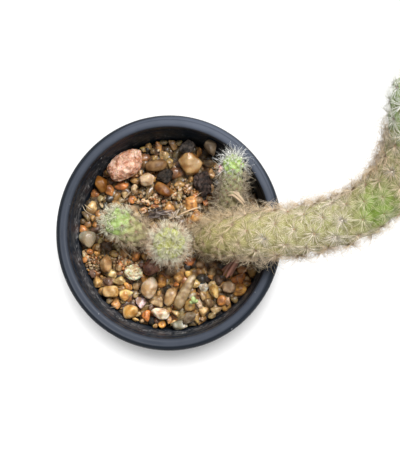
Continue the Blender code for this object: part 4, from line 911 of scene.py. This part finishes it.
# The four stems are each one grown piece: a green cylinder set with conical tubercles in a 3, 5, 8 spiral,
# rooted in the mix, and drawn together in a dome at the tip. The long one leans out over the rim.
GOLDEN_TURN = np.radians(137.50776)        # from each areole to the next one up the spiral
AREOLE_RISE = 0.106                        # and how much higher that one is, in radii of the stem
FIRST_AREOLE = 8
DOME_END = 2.0                             # how far up the dome they go, in the same measure
TUBERCLE = 1.2                             # how far a tubercle stands out
STEM_START = 69.2                          # the height at which a stem leaves the gravel
LONG_STEM = [(14.5, -2.2, 55), (14.5, -2.2, 62), (14.5, -2.2, 69.5), (16.0, -2.5, 77), (20.1, -2.6, 83.4),
             (27.5, -2.1, 89.4), (38.0, -1.6, 95), (49.3, -1.3, 100), (64.0, 1.2, 105), (79.1, 6.0, 110),
             (92.8, 17.6, 117), (98.6, 32.8, 126), (99.2, 42.5, 134), (99.5, 49.9, 140)]
CENTRE_STEM = [(-1.8, -5.6, 55), (-1.8, -5.6, 62), (-1.8, -5.6, 69.5), (-0.6, -5.4, 80), (0.7, -5.2, 91.5)]
LEFT_STEM = [(-13.0, -1.4, 55), (-13.0, -1.4, 62), (-13.0, -1.4, 69.5), (-14.4, -0.5, 75), (-17.4, 1.4, 79.8),
             (-22.1, 4.6, 84.4)]
RIGHT_STEM = [(25.9, 10.6, 55), (25.9, 10.6, 62), (25.9, 10.6, 69.5), (26.2, 12.4, 75.5), (26.9, 16.5, 81),
              (27.5, 21.5, 86), (28.0, 28.4, 92.4)]
BOX_MARGIN = 0.5                           # nothing reaches nearer the sides of the CAD model's box
# name, path, radius at the root, full radius, length over which it fills out, spine length
STEMS = [
    ("centre", CENTRE_STEM, 4.7, 6.0, 28, 3.8),
    ("left", LEFT_STEM, 4.6, 5.3, 24, 3.9),
    ("right", RIGHT_STEM, 5.0, 3.6, 26, 3.0),
    ("long", LONG_STEM, 5.8, 9.0, 48, 7.2),
]
# how the spines of a star stand: the angle at which they lean out in degrees, how much steeper and longer
# they are at the top of the dome, rays in a star on the sides and on the dome, and bow as a share of length
STARS = {
    "centre": (36, 12, 0.5, 26, 17, 0.4), "left": (27, 16, -0.45, 26, 14, 0.3),
    "right": (27, 30, 1.6, 13, 5, 0.14), "long": (8, 30, -0.3, 58, 22, 0.14),
}
# the hairs of a star: how many, length as a share of the spines', how much less on the dome, and bow
HAIRS = {
    "centre": (34, 1.15, 0, 0.8), "left": (23, 1.0, 0, 0.6),
    "right": (9, 1.9, 2.4, 0.4), "long": (30, 1.2, 0, 0.4),
}
# colour of the skin and of the spines by age, from 0 at the root to 1 where the dome starts
SKIN_COLOURS = {
    "centre": [(0, 0.20, 0.15, 0.09), (0.5, 0.40, 0.32, 0.19), (0.92, 0.46, 0.40, 0.20),
               (1, 0.43, 0.46, 0.11)],
    "left": [(0, 0.25, 0.20, 0.11), (0.4, 0.38, 0.34, 0.18), (0.8, 0.36, 0.38, 0.15),
             (1, 0.30, 0.42, 0.12)],
    "right": [(0, 0.24, 0.20, 0.11), (0.5, 0.30, 0.28, 0.14), (0.9, 0.28, 0.31, 0.13),
              (1, 0.33, 0.47, 0.13)],
    "long": [(0, 0.22, 0.18, 0.07), (0.12, 0.30, 0.28, 0.09), (0.2, 0.36, 0.34, 0.10),
             (0.4, 0.35, 0.33, 0.13), (0.55, 0.31, 0.31, 0.12), (0.65, 0.32, 0.28, 0.12),
             (0.8, 0.24, 0.25, 0.09), (0.92, 0.23, 0.31, 0.10), (1, 0.26, 0.36, 0.12)],
}
SPINE_COLOURS = {
    "centre": [(0, 0.50, 0.35, 0.22), (0.5, 0.78, 0.52, 0.34), (0.92, 0.91, 0.66, 0.45),
               (1, 1.0, 0.93, 0.73)],
    "left": [(0, 0.46, 0.35, 0.23), (0.5, 0.70, 0.55, 0.38), (0.9, 0.80, 0.67, 0.47),
             (1, 0.92, 0.88, 0.68)],
    "right": [(0, 0.46, 0.37, 0.26), (0.5, 0.62, 0.52, 0.38), (0.9, 0.74, 0.66, 0.50),
              (1, 0.97, 0.97, 0.92)],
    "long": [(0, 0.48, 0.36, 0.22), (0.12, 0.60, 0.46, 0.28), (0.2, 0.77, 0.61, 0.38),
             (0.35, 0.98, 0.83, 0.64), (0.55, 0.98, 0.86, 0.73), (0.65, 0.88, 0.74, 0.57),
             (0.84, 0.80, 0.62, 0.43), (0.92, 0.92, 0.88, 0.76), (1, 0.96, 0.95, 0.88)],
}
VALLEY_SHADE, CORK = (0.66, 0.62, 0.54), (0.42, 0.35, 0.20)  # the first is times the skin's own colour, painted shade for the valleys between tubercles
GREEN_PATCH, PATCH_SPREAD = (87.0, 8.0, 119), 9.0  # a fresh place on the long stem
WHITE_TUFTS = [(73.6, 5.3, 114), (70.4, -1.5, 112), (90, 20, 127), (39, -3.5, 103)]
FRESH_SKIN, FRESH_SPINES = (0.16, 0.26, 0.02), (0.88, 0.88, 0.58)
# the first is the brown mixed into spines that face sideways or down: withered spines together with painted
# shade
WITHERED_AND_SHADE, SHAG = (0.58, 0.43, 0.29), (0.62, 0.44, 0.23)
TUFT_WHITE, LOOP_STRAW = (0.72, 0.68, 0.62), (0.84, 0.69, 0.46)
YOUNG_FELT, OLD_FELT, WHITE_FELT = (0.80, 0.83, 0.64), (0.40, 0.25, 0.17), (0.66, 0.60, 0.50)
FELT_RADIUS = 0.36
SPINE_HALF, OLD_SPINE_HALF = 0.06, 0.054   # half the thickness of a spine
ROW_RISE, COLUMNS = 0.07, 92


class Stem:
    """A stem's centre line, the directions across it and its unrolled height, in which one unit is one
    local radius, so that even steps round a spiral keep the same pattern however thick the stem is."""

    def __init__(self, path, root_radius, full_radius, fill_out):
        self.points = self.smooth(np.array(path, float))
        steps = np.linalg.norm(np.diff(self.points, axis=0), axis=1)
        length = np.concatenate([[0], np.cumsum(steps)])
        start = np.interp(STEM_START, self.points[:, 2], length)
        share = np.clip((length - start) / fill_out, 0, 1)
        self.radius = root_radius + (full_radius - root_radius) * share * share * (3 - 2 * share)
        rise = np.concatenate([[0], np.cumsum(steps / (0.5 * (self.radius[1:] + self.radius[:-1])))])
        self.height = rise - np.interp(start, length, rise)
        self.dome_start = self.height[-1]
        self.tangent = np.gradient(self.points, length, axis=0)
        self.tangent /= np.linalg.norm(self.tangent, axis=1, keepdims=True)
        self.side = np.zeros_like(self.tangent)
        current = np.array([1.0, 0.0, 0.0])
        for i, ahead in enumerate(self.tangent):
            current = current - ahead * (current @ ahead)
            current /= np.linalg.norm(current)
            self.side[i] = current
        self.front = np.cross(self.tangent, self.side)
        self.areoles = np.arange(FIRST_AREOLE, int((self.dome_start + DOME_END) / AREOLE_RISE))

    @staticmethod
    def smooth(points, samples=24):
        """A curve through the points: on each stretch, the cubic whose slope at each end is half the
        step between that end's two neighbours."""
        before = np.vstack([2 * points[0] - points[1], points[:-2]])
        after = np.vstack([points[2:], 2 * points[-1] - points[-2]])
        t = np.linspace(0, 1, samples, endpoint=False)[None, :, None]
        p0, p1, p2, p3 = (p[:, None, :] for p in (before, points[:-1], points[1:], after))
        curve = 0.5 * (2 * p1 + (p2 - p0) * t + (2 * p0 - 5 * p1 + 4 * p2 - p3) * t ** 2
                       + (3 * p1 - p0 - 3 * p2 + p3) * t ** 3)
        return np.vstack([curve.reshape(-1, 3), points[-1:]])

    def at(self, height, table):
        """The table's value at each unrolled height."""
        return np.stack([np.interp(height, self.height, column) for column in table.T], axis=-1)

    def climb(self, height):
        """How far up the dome each unrolled height is, as an angle."""
        return 2 * np.arctan(np.exp(np.maximum(0, height - self.dome_start))) - np.pi / 2

    def shrink(self, height):
        """The size of a tubercle on the dome, as a share of its size on the stem."""
        return np.maximum(0.3, np.cos(self.climb(height)))

    def surface(self, around, height, proud=0.0):
        """Points and outward normals: from the centre line, along the normal, by the radius and what
        stands proud of it. On the dome the normal leans from sideways to straight ahead."""
        climb = self.climb(height)[..., None]
        radial = np.cos(around)[..., None] * self.at(height, self.side)
        radial = radial + np.sin(around)[..., None] * self.at(height, self.front)
        normal = np.cos(climb) * radial + np.sin(climb) * self.at(height, self.tangent)
        normal /= np.linalg.norm(normal, axis=-1, keepdims=True)
        reach = np.interp(height, self.height, self.radius) + proud
        return self.at(height, self.points) + normal * np.expand_dims(reach, -1), normal

    def nearest_areole(self, around, height):
        """The unrolled distance from each place to the nearest areole, and that areole's number."""
        nearby = np.round(height / AREOLE_RISE).astype(int)[..., None] + np.arange(-10, 11)
        nearby = np.clip(nearby, self.areoles[0], self.areoles[-1])
        turn = (around[..., None] - nearby * GOLDEN_TURN + np.pi) % (2 * np.pi) - np.pi
        gap = np.hypot(turn, height[..., None] - nearby * AREOLE_RISE)
        best = np.argmin(gap, axis=-1)[..., None]
        return np.take_along_axis(gap, best, -1)[..., 0], np.take_along_axis(nearby, best, -1)[..., 0]

    def areole_tops(self):
        """For each areole: its place on the tubercle's top, the normal, across, uphill, and its size."""
        around, height = self.areoles * GOLDEN_TURN, self.areoles * AREOLE_RISE
        size = 0.45 + 0.55 * self.shrink(height)
        top, normal = self.surface(around, height, TUBERCLE * size)
        uphill = self.surface(around, height + 0.05)[0] - self.surface(around, height - 0.05)[0]
        uphill -= normal * np.sum(uphill * normal, axis=1, keepdims=True)
        uphill /= np.linalg.norm(uphill, axis=1, keepdims=True)
        return top, normal, np.cross(uphill, normal), uphill, size


def skin_finish():
    """Waxy green skin in its own colours, darker in the valleys between tubercles as painted shade, and
    flecked with cork.
    """
    material, tree, shader = finish("cactus_skin", (0.30, 0.40, 0.12), 0.5, Subsurface_Weight=0.15,
                                    Subsurface_Radius=(0.0015, 0.002, 0.0006))
    own, hill = attribute(tree, "skin_colour", "Color"), attribute(tree, "hill")
    where = places(tree)
    # painted shade: the skin is darker in the valleys between the tubercles
    valley_shaded = mixed(tree, 1.0, own, VALLEY_SHADE, "MULTIPLY")
    colour = mixed(tree, between(tree, hill, 0.0, 0.5), valley_shaded, own)
    cork = between(tree, noise(tree, where, 420, 4), 0.5, 0.72, 0.0, 0.4)
    colour = mixed(tree, cork, colour, CORK)
    tree.links.new(colour, shader.inputs["Base Color"])
    bumps(tree, shader, noise(tree, where, 3000, 3), 0.00012, 0.6)
    return material


def spine_finish():
    """Dry, horny spines, hairs and litter, each strand with its own colour."""
    material, tree, shader = finish("spines", (0.7, 0.6, 0.4), 0.5)
    tree.links.new(attribute(tree, "spine_colour", "Color"), shader.inputs["Base Color"])
    return material


def spikes(roots, tips, bow, thickness, colours, rings=(0.0, 0.38, 0.74)):
    """Thin three-sided spikes in one array: the middle line runs from root to tip and bows sideways
    by 4t(1 − t) of its bow, and the half thickness falls as the root of 1 − t, to a point at the tip.
    Each ring is three corners, and the root is closed with a triangle."""
    count, t = len(roots), np.array(rings)
    along = tips - roots
    way = along / np.linalg.norm(along, axis=1, keepdims=True)
    helper = np.where(np.abs(way[:, 2:]) < 0.8, [[0, 0, 1.0]], [[1.0, 0, 0]])
    across = np.cross(way, helper)
    across /= np.linalg.norm(across, axis=1, keepdims=True)
    over = np.cross(way, across)
    middle = roots[:, None] + along[:, None] * t[:, None] + bow[:, None] * (4 * t * (1 - t))[:, None]
    corner = np.arange(3) * 2 * np.pi / 3
    ring = np.cos(corner)[:, None] * across[:, None] + np.sin(corner)[:, None] * over[:, None]
    half = thickness[:, None] * np.sqrt(1 - t)
    points = middle[:, :, None] + ring[:, None] * half[..., None, None]
    points = np.concatenate([points.reshape(count, -1, 3), tips[:, None]], axis=1)
    each = points.shape[1]
    side = [(3 * k + j, 3 * k + (j + 1) % 3, 3 * k + 3 + (j + 1) % 3, 3 * k + 3 + j)
            for k in range(len(t) - 1) for j in range(3)]
    last = 3 * len(t) - 3
    ends = [(last + j, last + (j + 1) % 3, each - 1) for j in range(3)] + [(2, 1, 0)]
    start = np.arange(count)[:, None, None] * each
    quads, triangles = ((np.array(part) + start).reshape(-1, len(part[0])).tolist() for part in (side, ends))
    return points.reshape(-1, 3), quads + triangles, np.repeat(colours, each, axis=0)


def rays(tops, rng, count, lean, wobble, long, bend, thick, tints, hug=0.0, rings=(0.0, 0.5)):
    """A star of rays on each areole. They point all round it, lean outwards by an angle, vary by the
    wobble, and bow outwards and sideways by up to the bend, as a share of their length. Those that
    run round the stem lean back by the angle hug, to follow it. Any that would leave the model's box
    is shorter."""
    top, normal, across, uphill, size = tops
    shape = (len(top), count)
    turn = np.linspace(0, 2 * np.pi, count, endpoint=False) + rng.uniform(0, 6.28, (len(top), 1))
    turn = (turn + rng.normal(0, 0.15, shape))[..., None]
    lean = (lean + rng.normal(0, wobble, shape))[..., None] - hug * np.cos(turn) ** 2
    long = (long * rng.uniform(0.5, 1.18, shape))[..., None]
    normal, across, uphill = normal[:, None], across[:, None], uphill[:, None]
    flat = np.cos(turn) * across + np.sin(turn) * uphill
    way = np.cos(lean) * flat + np.sin(lean) * normal
    roots = top[:, None] + flat * 0.3 * size[:, None, None] - normal * 0.15
    bow = long * (normal * rng.uniform(0, bend, (*shape, 1))
                  + np.cross(way, normal) * rng.normal(0, 0.7 * bend, (*shape, 1)))
    tints = tints[:, None] * rng.uniform(0.78, 1.15, (*shape, 1))
    reach = way * long
    room = np.where(reach > 0, BOX_HIGH - roots, BOX_LOW - roots)
    room = room / np.where(np.abs(reach) < 1e-6, 1e-6, reach)
    room = np.clip(room.min(axis=-1, keepdims=True), 0.15, 1)
    flatten = [part.reshape(-1, 3) for part in (roots, roots + reach * room, bow * room)]
    points, faces, tints = spikes(*flatten, np.repeat(thick, count), tints.reshape(-1, 3), rings)
    return np.clip(points, BOX_LOW, BOX_HIGH), faces, tints


def pads(middles, sizes, colours):
    """Small balls, one at each middle."""
    directions, quads = ball(2)
    points = middles[:, None] + directions * sizes[:, None, None]
    faces = quads + np.arange(len(middles))[:, None, None] * len(directions)
    return points.reshape(-1, 3), faces.reshape(-1, 4), np.repeat(colours, len(directions), axis=0)


def by_age(stops, age):
    """The colour at each age, between the stops on either side of it."""
    stops = np.array(stops)
    return np.stack([np.interp(age, stops[:, 0], column) for column in stops[:, 1:].T], axis=-1)


def near(points, spot, spread):
    """How near each point is to a spot, from 1 on it down a bell curve of a given spread."""
    return np.exp(-np.sum(((points - spot) / spread) ** 2, axis=1))


def painted(name, points, faces, tints, nodes=()):
    """A piece of spines, hairs or litter, with a colour for each point."""
    made = piece(name, points, faces, SPINES, nodes)
    paint(made, "spine_colour", np.clip(tints, 0, 1))


SKIN, SPINES = skin_finish(), spine_finish()
BOX_LOW, BOX_HIGH = (np.array(corner) / MM for corner in cad_box)
BOX_LOW, BOX_HIGH = BOX_LOW + BOX_MARGIN, BOX_HIGH - BOX_MARGIN
for name, path, root_radius, full_radius, fill_out, spine in STEMS:
    stem, solid, old = Stem(path, root_radius, full_radius, fill_out), ["stem_" + name], name == "long"
    rng = np.random.default_rng(len(path))

    # the skin, its tubercles raised as cones with round tops, lowest where three of them meet
    rows = np.append(np.arange(stem.height[0], stem.dome_start + 4, ROW_RISE), stem.dome_start + 12)
    around, height = np.meshgrid(np.linspace(0, 2 * np.pi, COLUMNS, endpoint=False), rows)
    gap, _ = stem.nearest_areole(around, height)
    hill = np.clip(1 - (gap / 0.52) ** 1.5, 0, 1) * np.clip((height - 0.3) / 0.5, 0, 1)
    tall = 0.25 + 0.75 * stem.shrink(height)
    proud = TUBERCLE * hill * tall * (height < stem.dome_start + DOME_END + 0.6)
    points, _ = stem.surface(around, height, proud)
    points[-1] = points[-1].mean(axis=0)
    foot = stem.surface(around[0], height[0])[0].mean(axis=0)
    points = np.vstack([np.broadcast_to(foot, (COLUMNS, 3)), points.reshape(-1, 3)])
    skin = piece("stem_" + name + "_skin", points, grid_faces(len(rows) + 1, COLUMNS), SKIN, solid,
                 merge=0.0005)
    place = points_of(skin)
    nearest, distance = np.zeros(len(place), int), np.full(len(place), 1e9)
    for k, spot in enumerate(stem.points):
        off = np.sum((place - spot) ** 2, axis=1)
        closer = off < distance
        nearest[closer], distance[closer] = k, off[closer]
    age = np.clip(stem.height[nearest] / stem.dome_start, 0, 1)
    colour = by_age(SKIN_COLOURS[name], age)
    if old:
        share = np.clip(1.4 * near(place, GREEN_PATCH, PATCH_SPREAD), 0, 0.95)[:, None]
        colour = colour * (1 - share) + np.array(FRESH_SKIN) * share
    paint(skin, "skin_colour", colour)
    paint(skin, "hill", np.clip((np.sqrt(distance) - stem.radius[nearest]) / TUBERCLE, 0, 1))

    # the spines, a star on every areole, flat against its neighbours below and upright on the dome; where
    # they face sideways or down they are browner and darker, partly withered and partly painted shade on the
    # stem's sides, most on the long stem and not on the back of its bend; on the long stem they are finer
    # where it is fresh
    tops = stem.areole_tops()
    top, normal = tops[:2]
    age = np.clip(stem.areoles * AREOLE_RISE / stem.dome_start, 0, 1)
    upright = 1 - stem.shrink(stem.areoles * AREOLE_RISE)
    edge = np.clip((0.5 - normal[:, 2]) / 0.35, 0, 1)
    tint = by_age(SPINE_COLOURS[name], age)
    half_thick = np.full(len(top), OLD_SPINE_HALF if old else SPINE_HALF)
    fresh = np.zeros(len(top))
    lean, rise, grow, full, sparse, bow = STARS[name]
    lean = np.radians(lean + rise * upright)[:, None]
    long = (spine * (1 + grow * upright))[:, None]
    if old:
        bend = np.clip(-3 * normal[:, 0], 0, 1) * np.clip(0.4 + 6 * normal[:, 2], 0, 1) * (age < 0.5)
        edge *= 1 - 0.9 * bend
        fresh = np.clip(1.5 * near(top, GREEN_PATCH, PATCH_SPREAD), 0, 1)
        half_thick -= 0.022 * fresh
        tint = tint + (np.array(FRESH_SPINES) - tint) * 0.75 * fresh[:, None]
        close = np.where(normal[:, 1] < -0.2, np.clip((top[:, 0] - 8) / 30, 0.45, 1), 1)
        long = long * close[:, None]  # shorter where the bend rests near the gravel
    # painted shade with withering: browner and darker where the areole faces sideways or down
    brown = (edge * (0.6 if old else 0.15) * (1 - upright) * np.clip((0.92 - age) / 0.1, 0, 1))[:, None]
    tint = tint * (1 - brown) + np.array(WITHERED_AND_SHADE) * brown
    dome = upright > 0.12
    hug = np.radians(16) if old else 0.0
    for label, chosen, count, wobble in (("spines", ~dome, full, 0.32), ("dome_spines", dome, sparse, 0.5)):
        points, faces, tints = rays([part[chosen] for part in tops], rng, count, lean[chosen], wobble,
                                    long[chosen], bow, half_thick[chosen], tint[chosen], hug)
        painted("stem_" + name + "_" + label, points, faces, tints, solid)

    # a tangle of finer hairs over them, and on the long stem white tufts, loops and a brown shaggy fringe;
    # a row is a label, where, how many to a star, wobble, length as a share of the spines', bow, half the
    # thickness, and colour
    hairs, share, less, hair_bow = HAIRS[name]
    share = share - less * np.clip(upright, 0, 0.6)
    batches = [("hairs", np.ones(len(top), bool), hairs, 0.4, share, hair_bow, 0.05, tint)]
    tufted = np.zeros(len(top), bool)
    if old:
        tufted[[np.argmin(np.sum((top - spot) ** 2, axis=1)) for spot in WHITE_TUFTS]] = True
        shag = np.array(SHAG) * rng.uniform(0.75, 1.25, (len(top), 1))
        below_dome = age < 0.9
        sides = (edge > 0.1) & below_dome
        loose = np.clip((0.75 - normal[:, 2]) / 0.3, 0, 1) + np.clip((0.3 - age) / 0.1, 0, 1) > 0.3
        white, straw = (np.ones_like(tint) * plain for plain in (TUFT_WHITE, LOOP_STRAW))
        batches += [("tufts", tufted, 34, 0.5, 0.55, 0.5, 0.06, white),
                    ("loops", loose & below_dome, 9, 0.25, 1.6, 0.55, 0.066, straw),
                    ("fringe", sides & (normal[:, 1] > 0), 56, 0.18, 1.0, 0.35, 0.055, shag),
                    ("fringe_below", sides & (normal[:, 1] <= 0), 46, 0.16, 0.75, 0.35, 0.05, shag)]
    for label, chosen, count, wobble, share, bow, half, hair in batches:
        share = np.broadcast_to(share, len(top))[chosen, None]
        points, faces, tints = rays([part[chosen] for part in tops], rng, count,
                                    lean[chosen] + (0.0 if old else 0.12), wobble, long[chosen] * share, bow,
                                    half * (1 - 0.6 * fresh[chosen]), hair[chosen], hug, (0.0, 0.35, 0.7))
        painted("stem_" + name + "_" + label, points, faces, tints, solid)

    # a pad of felt where the spines of each areole spring from
    felt = np.where(upright[:, None] > 0.15, [YOUNG_FELT], [OLD_FELT])
    felt = np.where(tufted[:, None], [WHITE_FELT], felt)
    sizes = FELT_RADIUS * rng.uniform(0.8, 1.2, len(top)) * np.where(tufted, 1.3, 1)
    points, faces, tints = pads(top, sizes, felt * rng.uniform(0.8, 1.15, (len(top), 1)))
    painted("stem_" + name + "_felt", points, faces, tints, solid)

# Litter on the gravel: the shrivelled strands of a spent flower, a bit of straw, a dead star of spines, old
# roots and fallen spines. Each is a thin dry fibre, drawn as a strand along a curve.
FLOWER_BROWN, STRAW, STAR_GREY = (0.36, 0.17, 0.12), (0.68, 0.48, 0.30), (0.66, 0.55, 0.43)
DARK_ROOT, PALE_ROOT, DROPPED = (0.09, 0.065, 0.055), (0.42, 0.35, 0.31), (0.70, 0.56, 0.38)
STAR_MIDDLE, STAR_COUNT = (1.8, 7.2, 73.2), 26
ROOTS_LEFT, ROOTS_RIGHT, ROOT_COUNT = (-9.0, 8.6, 71.0), (-2.0, 9.2, 71.2), 34
DROPPED_COUNT = 26


def strands(paths, widths, colours, flat=1.0, sides=5):
    """Strands along smooth curves, thin towards both ends and closed there. Each is a ring of corners
    carried along its curve, and flat is its thickness as a share of its width."""
    points, faces, tints = [], [], []
    corner = np.linspace(0, 2 * np.pi, sides, endpoint=False)
    start = 0
    for path, width, colour in zip(paths, widths, colours):
        middle = Stem.smooth(np.array(path, float), samples=5)
        way = np.gradient(middle, axis=0)
        way /= np.linalg.norm(way, axis=1, keepdims=True)
        across = np.cross(way, (0.05, 0.02, 1.0))
        across /= np.linalg.norm(across, axis=1, keepdims=True)
        over = np.cross(across, way) * flat
        end = np.linspace(0, 1, len(middle))
        half = width / 2 * np.clip(np.minimum(end, 1 - end) / 0.2, 0.12, 1) ** 0.5
        ring = np.cos(corner)[:, None] * across[:, None] + np.sin(corner)[:, None] * over[:, None]
        points.append((middle[:, None] + ring * half[:, None, None]).reshape(-1, 3))
        rows = len(middle)
        faces += (grid_faces(rows, sides)[:, ::-1] + start).tolist()
        last = start + (rows - 1) * sides
        faces += [list(range(start, start + sides)), list(range(last, last + sides))[::-1]]
        tints.append(np.broadcast_to(colour, (rows * sides, 3)))
        start += rows * sides
    return np.vstack(points), faces, np.vstack(tints)


def litter(name, paths, widths, colours, nodes=(), flat=1.0):
    """Strands as one piece, each with its own colour."""
    points, faces, tints = strands(paths, widths, colours, flat)
    painted(name, points, faces, tints, nodes)


rng = np.random.default_rng(77)
flower = [
    [(30.4, -10.0, 74.6), (28.8, -12.6, 74.6), (26.8, -15.8, 73.4), (24.6, -19.4, 71.8)],
    [(30.4, -11.0, 72.8), (29.2, -13.6, 72.9), (27.6, -16.4, 72.0), (26.2, -18.8, 71.2)],
    [(29.4, -9.8, 75.0), (27.6, -12.2, 75.2), (25.4, -14.8, 74.0), (23.2, -18.6, 71.8)],
    [(30.0, -10.6, 73.4), (27.8, -13.6, 73.6), (26.4, -14.8, 73.0), (24.6, -19.8, 71.0)],
    [(28.4, -12.0, 73.2), (25.8, -13.4, 73.0), (23.6, -15.4, 72.2), (22.6, -16.2, 71.4)],
]
browns = np.array(FLOWER_BROWN) * rng.uniform(0.5, 2.3, (len(flower), 1))
litter("withered_flower_strands", flower, [1.9, 1.4, 1.3, 1.0, 0.9], browns,
       ["withered_flower"], flat=0.6)
litter("straw", [[(3.6, 8.3, 72.4), (8.2, 10.1, 73.4), (13.0, 11.7, 74.2)]], [0.75], [STRAW],
       ["dry_straw"])

# a dead spine star by the straw, old roots between the short stems, and spines that have dropped off
turn = rng.uniform(-0.5, 3.6, STAR_COUNT)
reach = rng.uniform(2.2, 4.6, STAR_COUNT)
middle = np.array(STAR_MIDDLE)
rise = rng.uniform(-0.5, 1.8, STAR_COUNT)
tips = middle + np.column_stack([np.cos(turn) * reach, np.sin(turn) * reach, rise])
star = [[middle, (middle + tip) / 2 + (0, 0, 0.4), tip] for tip in tips]
greys = np.array(STAR_GREY) * rng.uniform(0.8, 1.15, (STAR_COUNT, 1))
litter("dead_star", star, [0.2] * STAR_COUNT, greys)
roots = []
for _ in range(ROOT_COUNT):
    start = np.array(ROOTS_LEFT) + rng.normal(0, 1, 3) * (1.6, 0.9, 0.4)
    stop = np.array(ROOTS_RIGHT) + rng.normal(0, 1, 3) * (2.6, 1.1, 0.5)
    roots.append([start, (start + stop) / 2 + rng.normal(0, 1, 3) * (1.0, 1.2, 0.7) + (0, 0.6, 0), stop])
shade = np.where(rng.random((ROOT_COUNT, 1)) < 0.7, [DARK_ROOT], [PALE_ROOT])
litter("old_roots", roots, rng.uniform(0.16, 0.34, ROOT_COUNT), shade)
fallen = [
    [(-22.5, -5.3, 71.6), (-20.2, -7.9, 71.9), (-17.6, -10.2, 71.4)],
    [(-13.0, -7.2, 73.0), (-9.6, -5.2, 76.8), (-6.3, -3.1, 80.0)],
    [(-39.4, 12.8, 71.0), (-37.8, 10.2, 72.0), (-35.2, 8.5, 70.6)],
    [(-38.6, 13.2, 70.6), (-36.6, 11.6, 71.6), (-35.0, 10.6, 70.8)],
]
widths = [0.26] * len(fallen) + [0.17] * DROPPED_COUNT
for _ in range(DROPPED_COUNT):
    x, y = rng.uniform(-34, 36), rng.choice([rng.uniform(-34, -10), rng.uniform(8, 22)])
    spot = np.array((x, y, bed_height(x, y) + rng.uniform(1.6, 2.6)))
    aim, reach = rng.uniform(0, 6.28), rng.uniform(1.2, 2.8)
    out = np.array((np.cos(aim), np.sin(aim), rng.uniform(-0.15, 0.25))) * reach
    fallen.append([spot - out, spot + rng.normal(0, 0.2, 3), spot + out])
tans = np.array(DROPPED) * rng.uniform(0.7, 1.2, (len(fallen), 1))
litter("fallen_spines", fallen, widths, tans)

# a dry flower caught on the right stem, and the pink bud below its tip
caught = [
    [(24.8, 16.4, 86.4), (27.2, 17.4, 87.6), (30.2, 15.6, 86.8), (32.9, 12.6, 84.4)],
    [(25.4, 15.6, 86.8), (28.0, 15.6, 87.8), (30.6, 13.6, 86.6), (32.4, 11.6, 84.8)],
    [(24.4, 17.2, 86.0), (25.6, 18.4, 87.2), (28.2, 17.8, 87.4), (31.0, 16.2, 86.0)],
]
petals = [(0.66, 0.50, 0.34), (0.58, 0.43, 0.28), (0.74, 0.60, 0.42)]
litter("caught_flower", caught, [1.4, 1.1, 0.9], petals, flat=0.5)
middles = np.array([(22.9, 26.6, 91.4), (22.4, 27.6, 91.8), (22.2, 25.6, 91.8)])
pinks = np.array([(0.60, 0.36, 0.30), (0.42, 0.13, 0.20), (0.70, 0.48, 0.40)])
points, faces, tints = pads(middles, np.array([1.25, 0.6, 0.7]), pinks)
painted("pink_bud", points, faces, tints)

# the sprout of some weed on an olive pebble
leaves = [
    [(10.0, -30.8, 71.2), (10.2, -29.6, 73.8), (9.9, -27.6, 74.4)],
    [(10.3, -30.4, 71.4), (11.2, -29.9, 73.4), (12.2, -29.2, 73.4)],
    [(9.9, -30.6, 71.2), (9.2, -30.4, 73.2), (8.6, -29.6, 73.2)],
]
greens = [(0.45, 0.54, 0.22), (0.38, 0.48, 0.18), (0.41, 0.50, 0.20)]
litter("sprout", leaves, [2.2, 1.6, 1.4], greens, flat=0.4)

low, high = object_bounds()
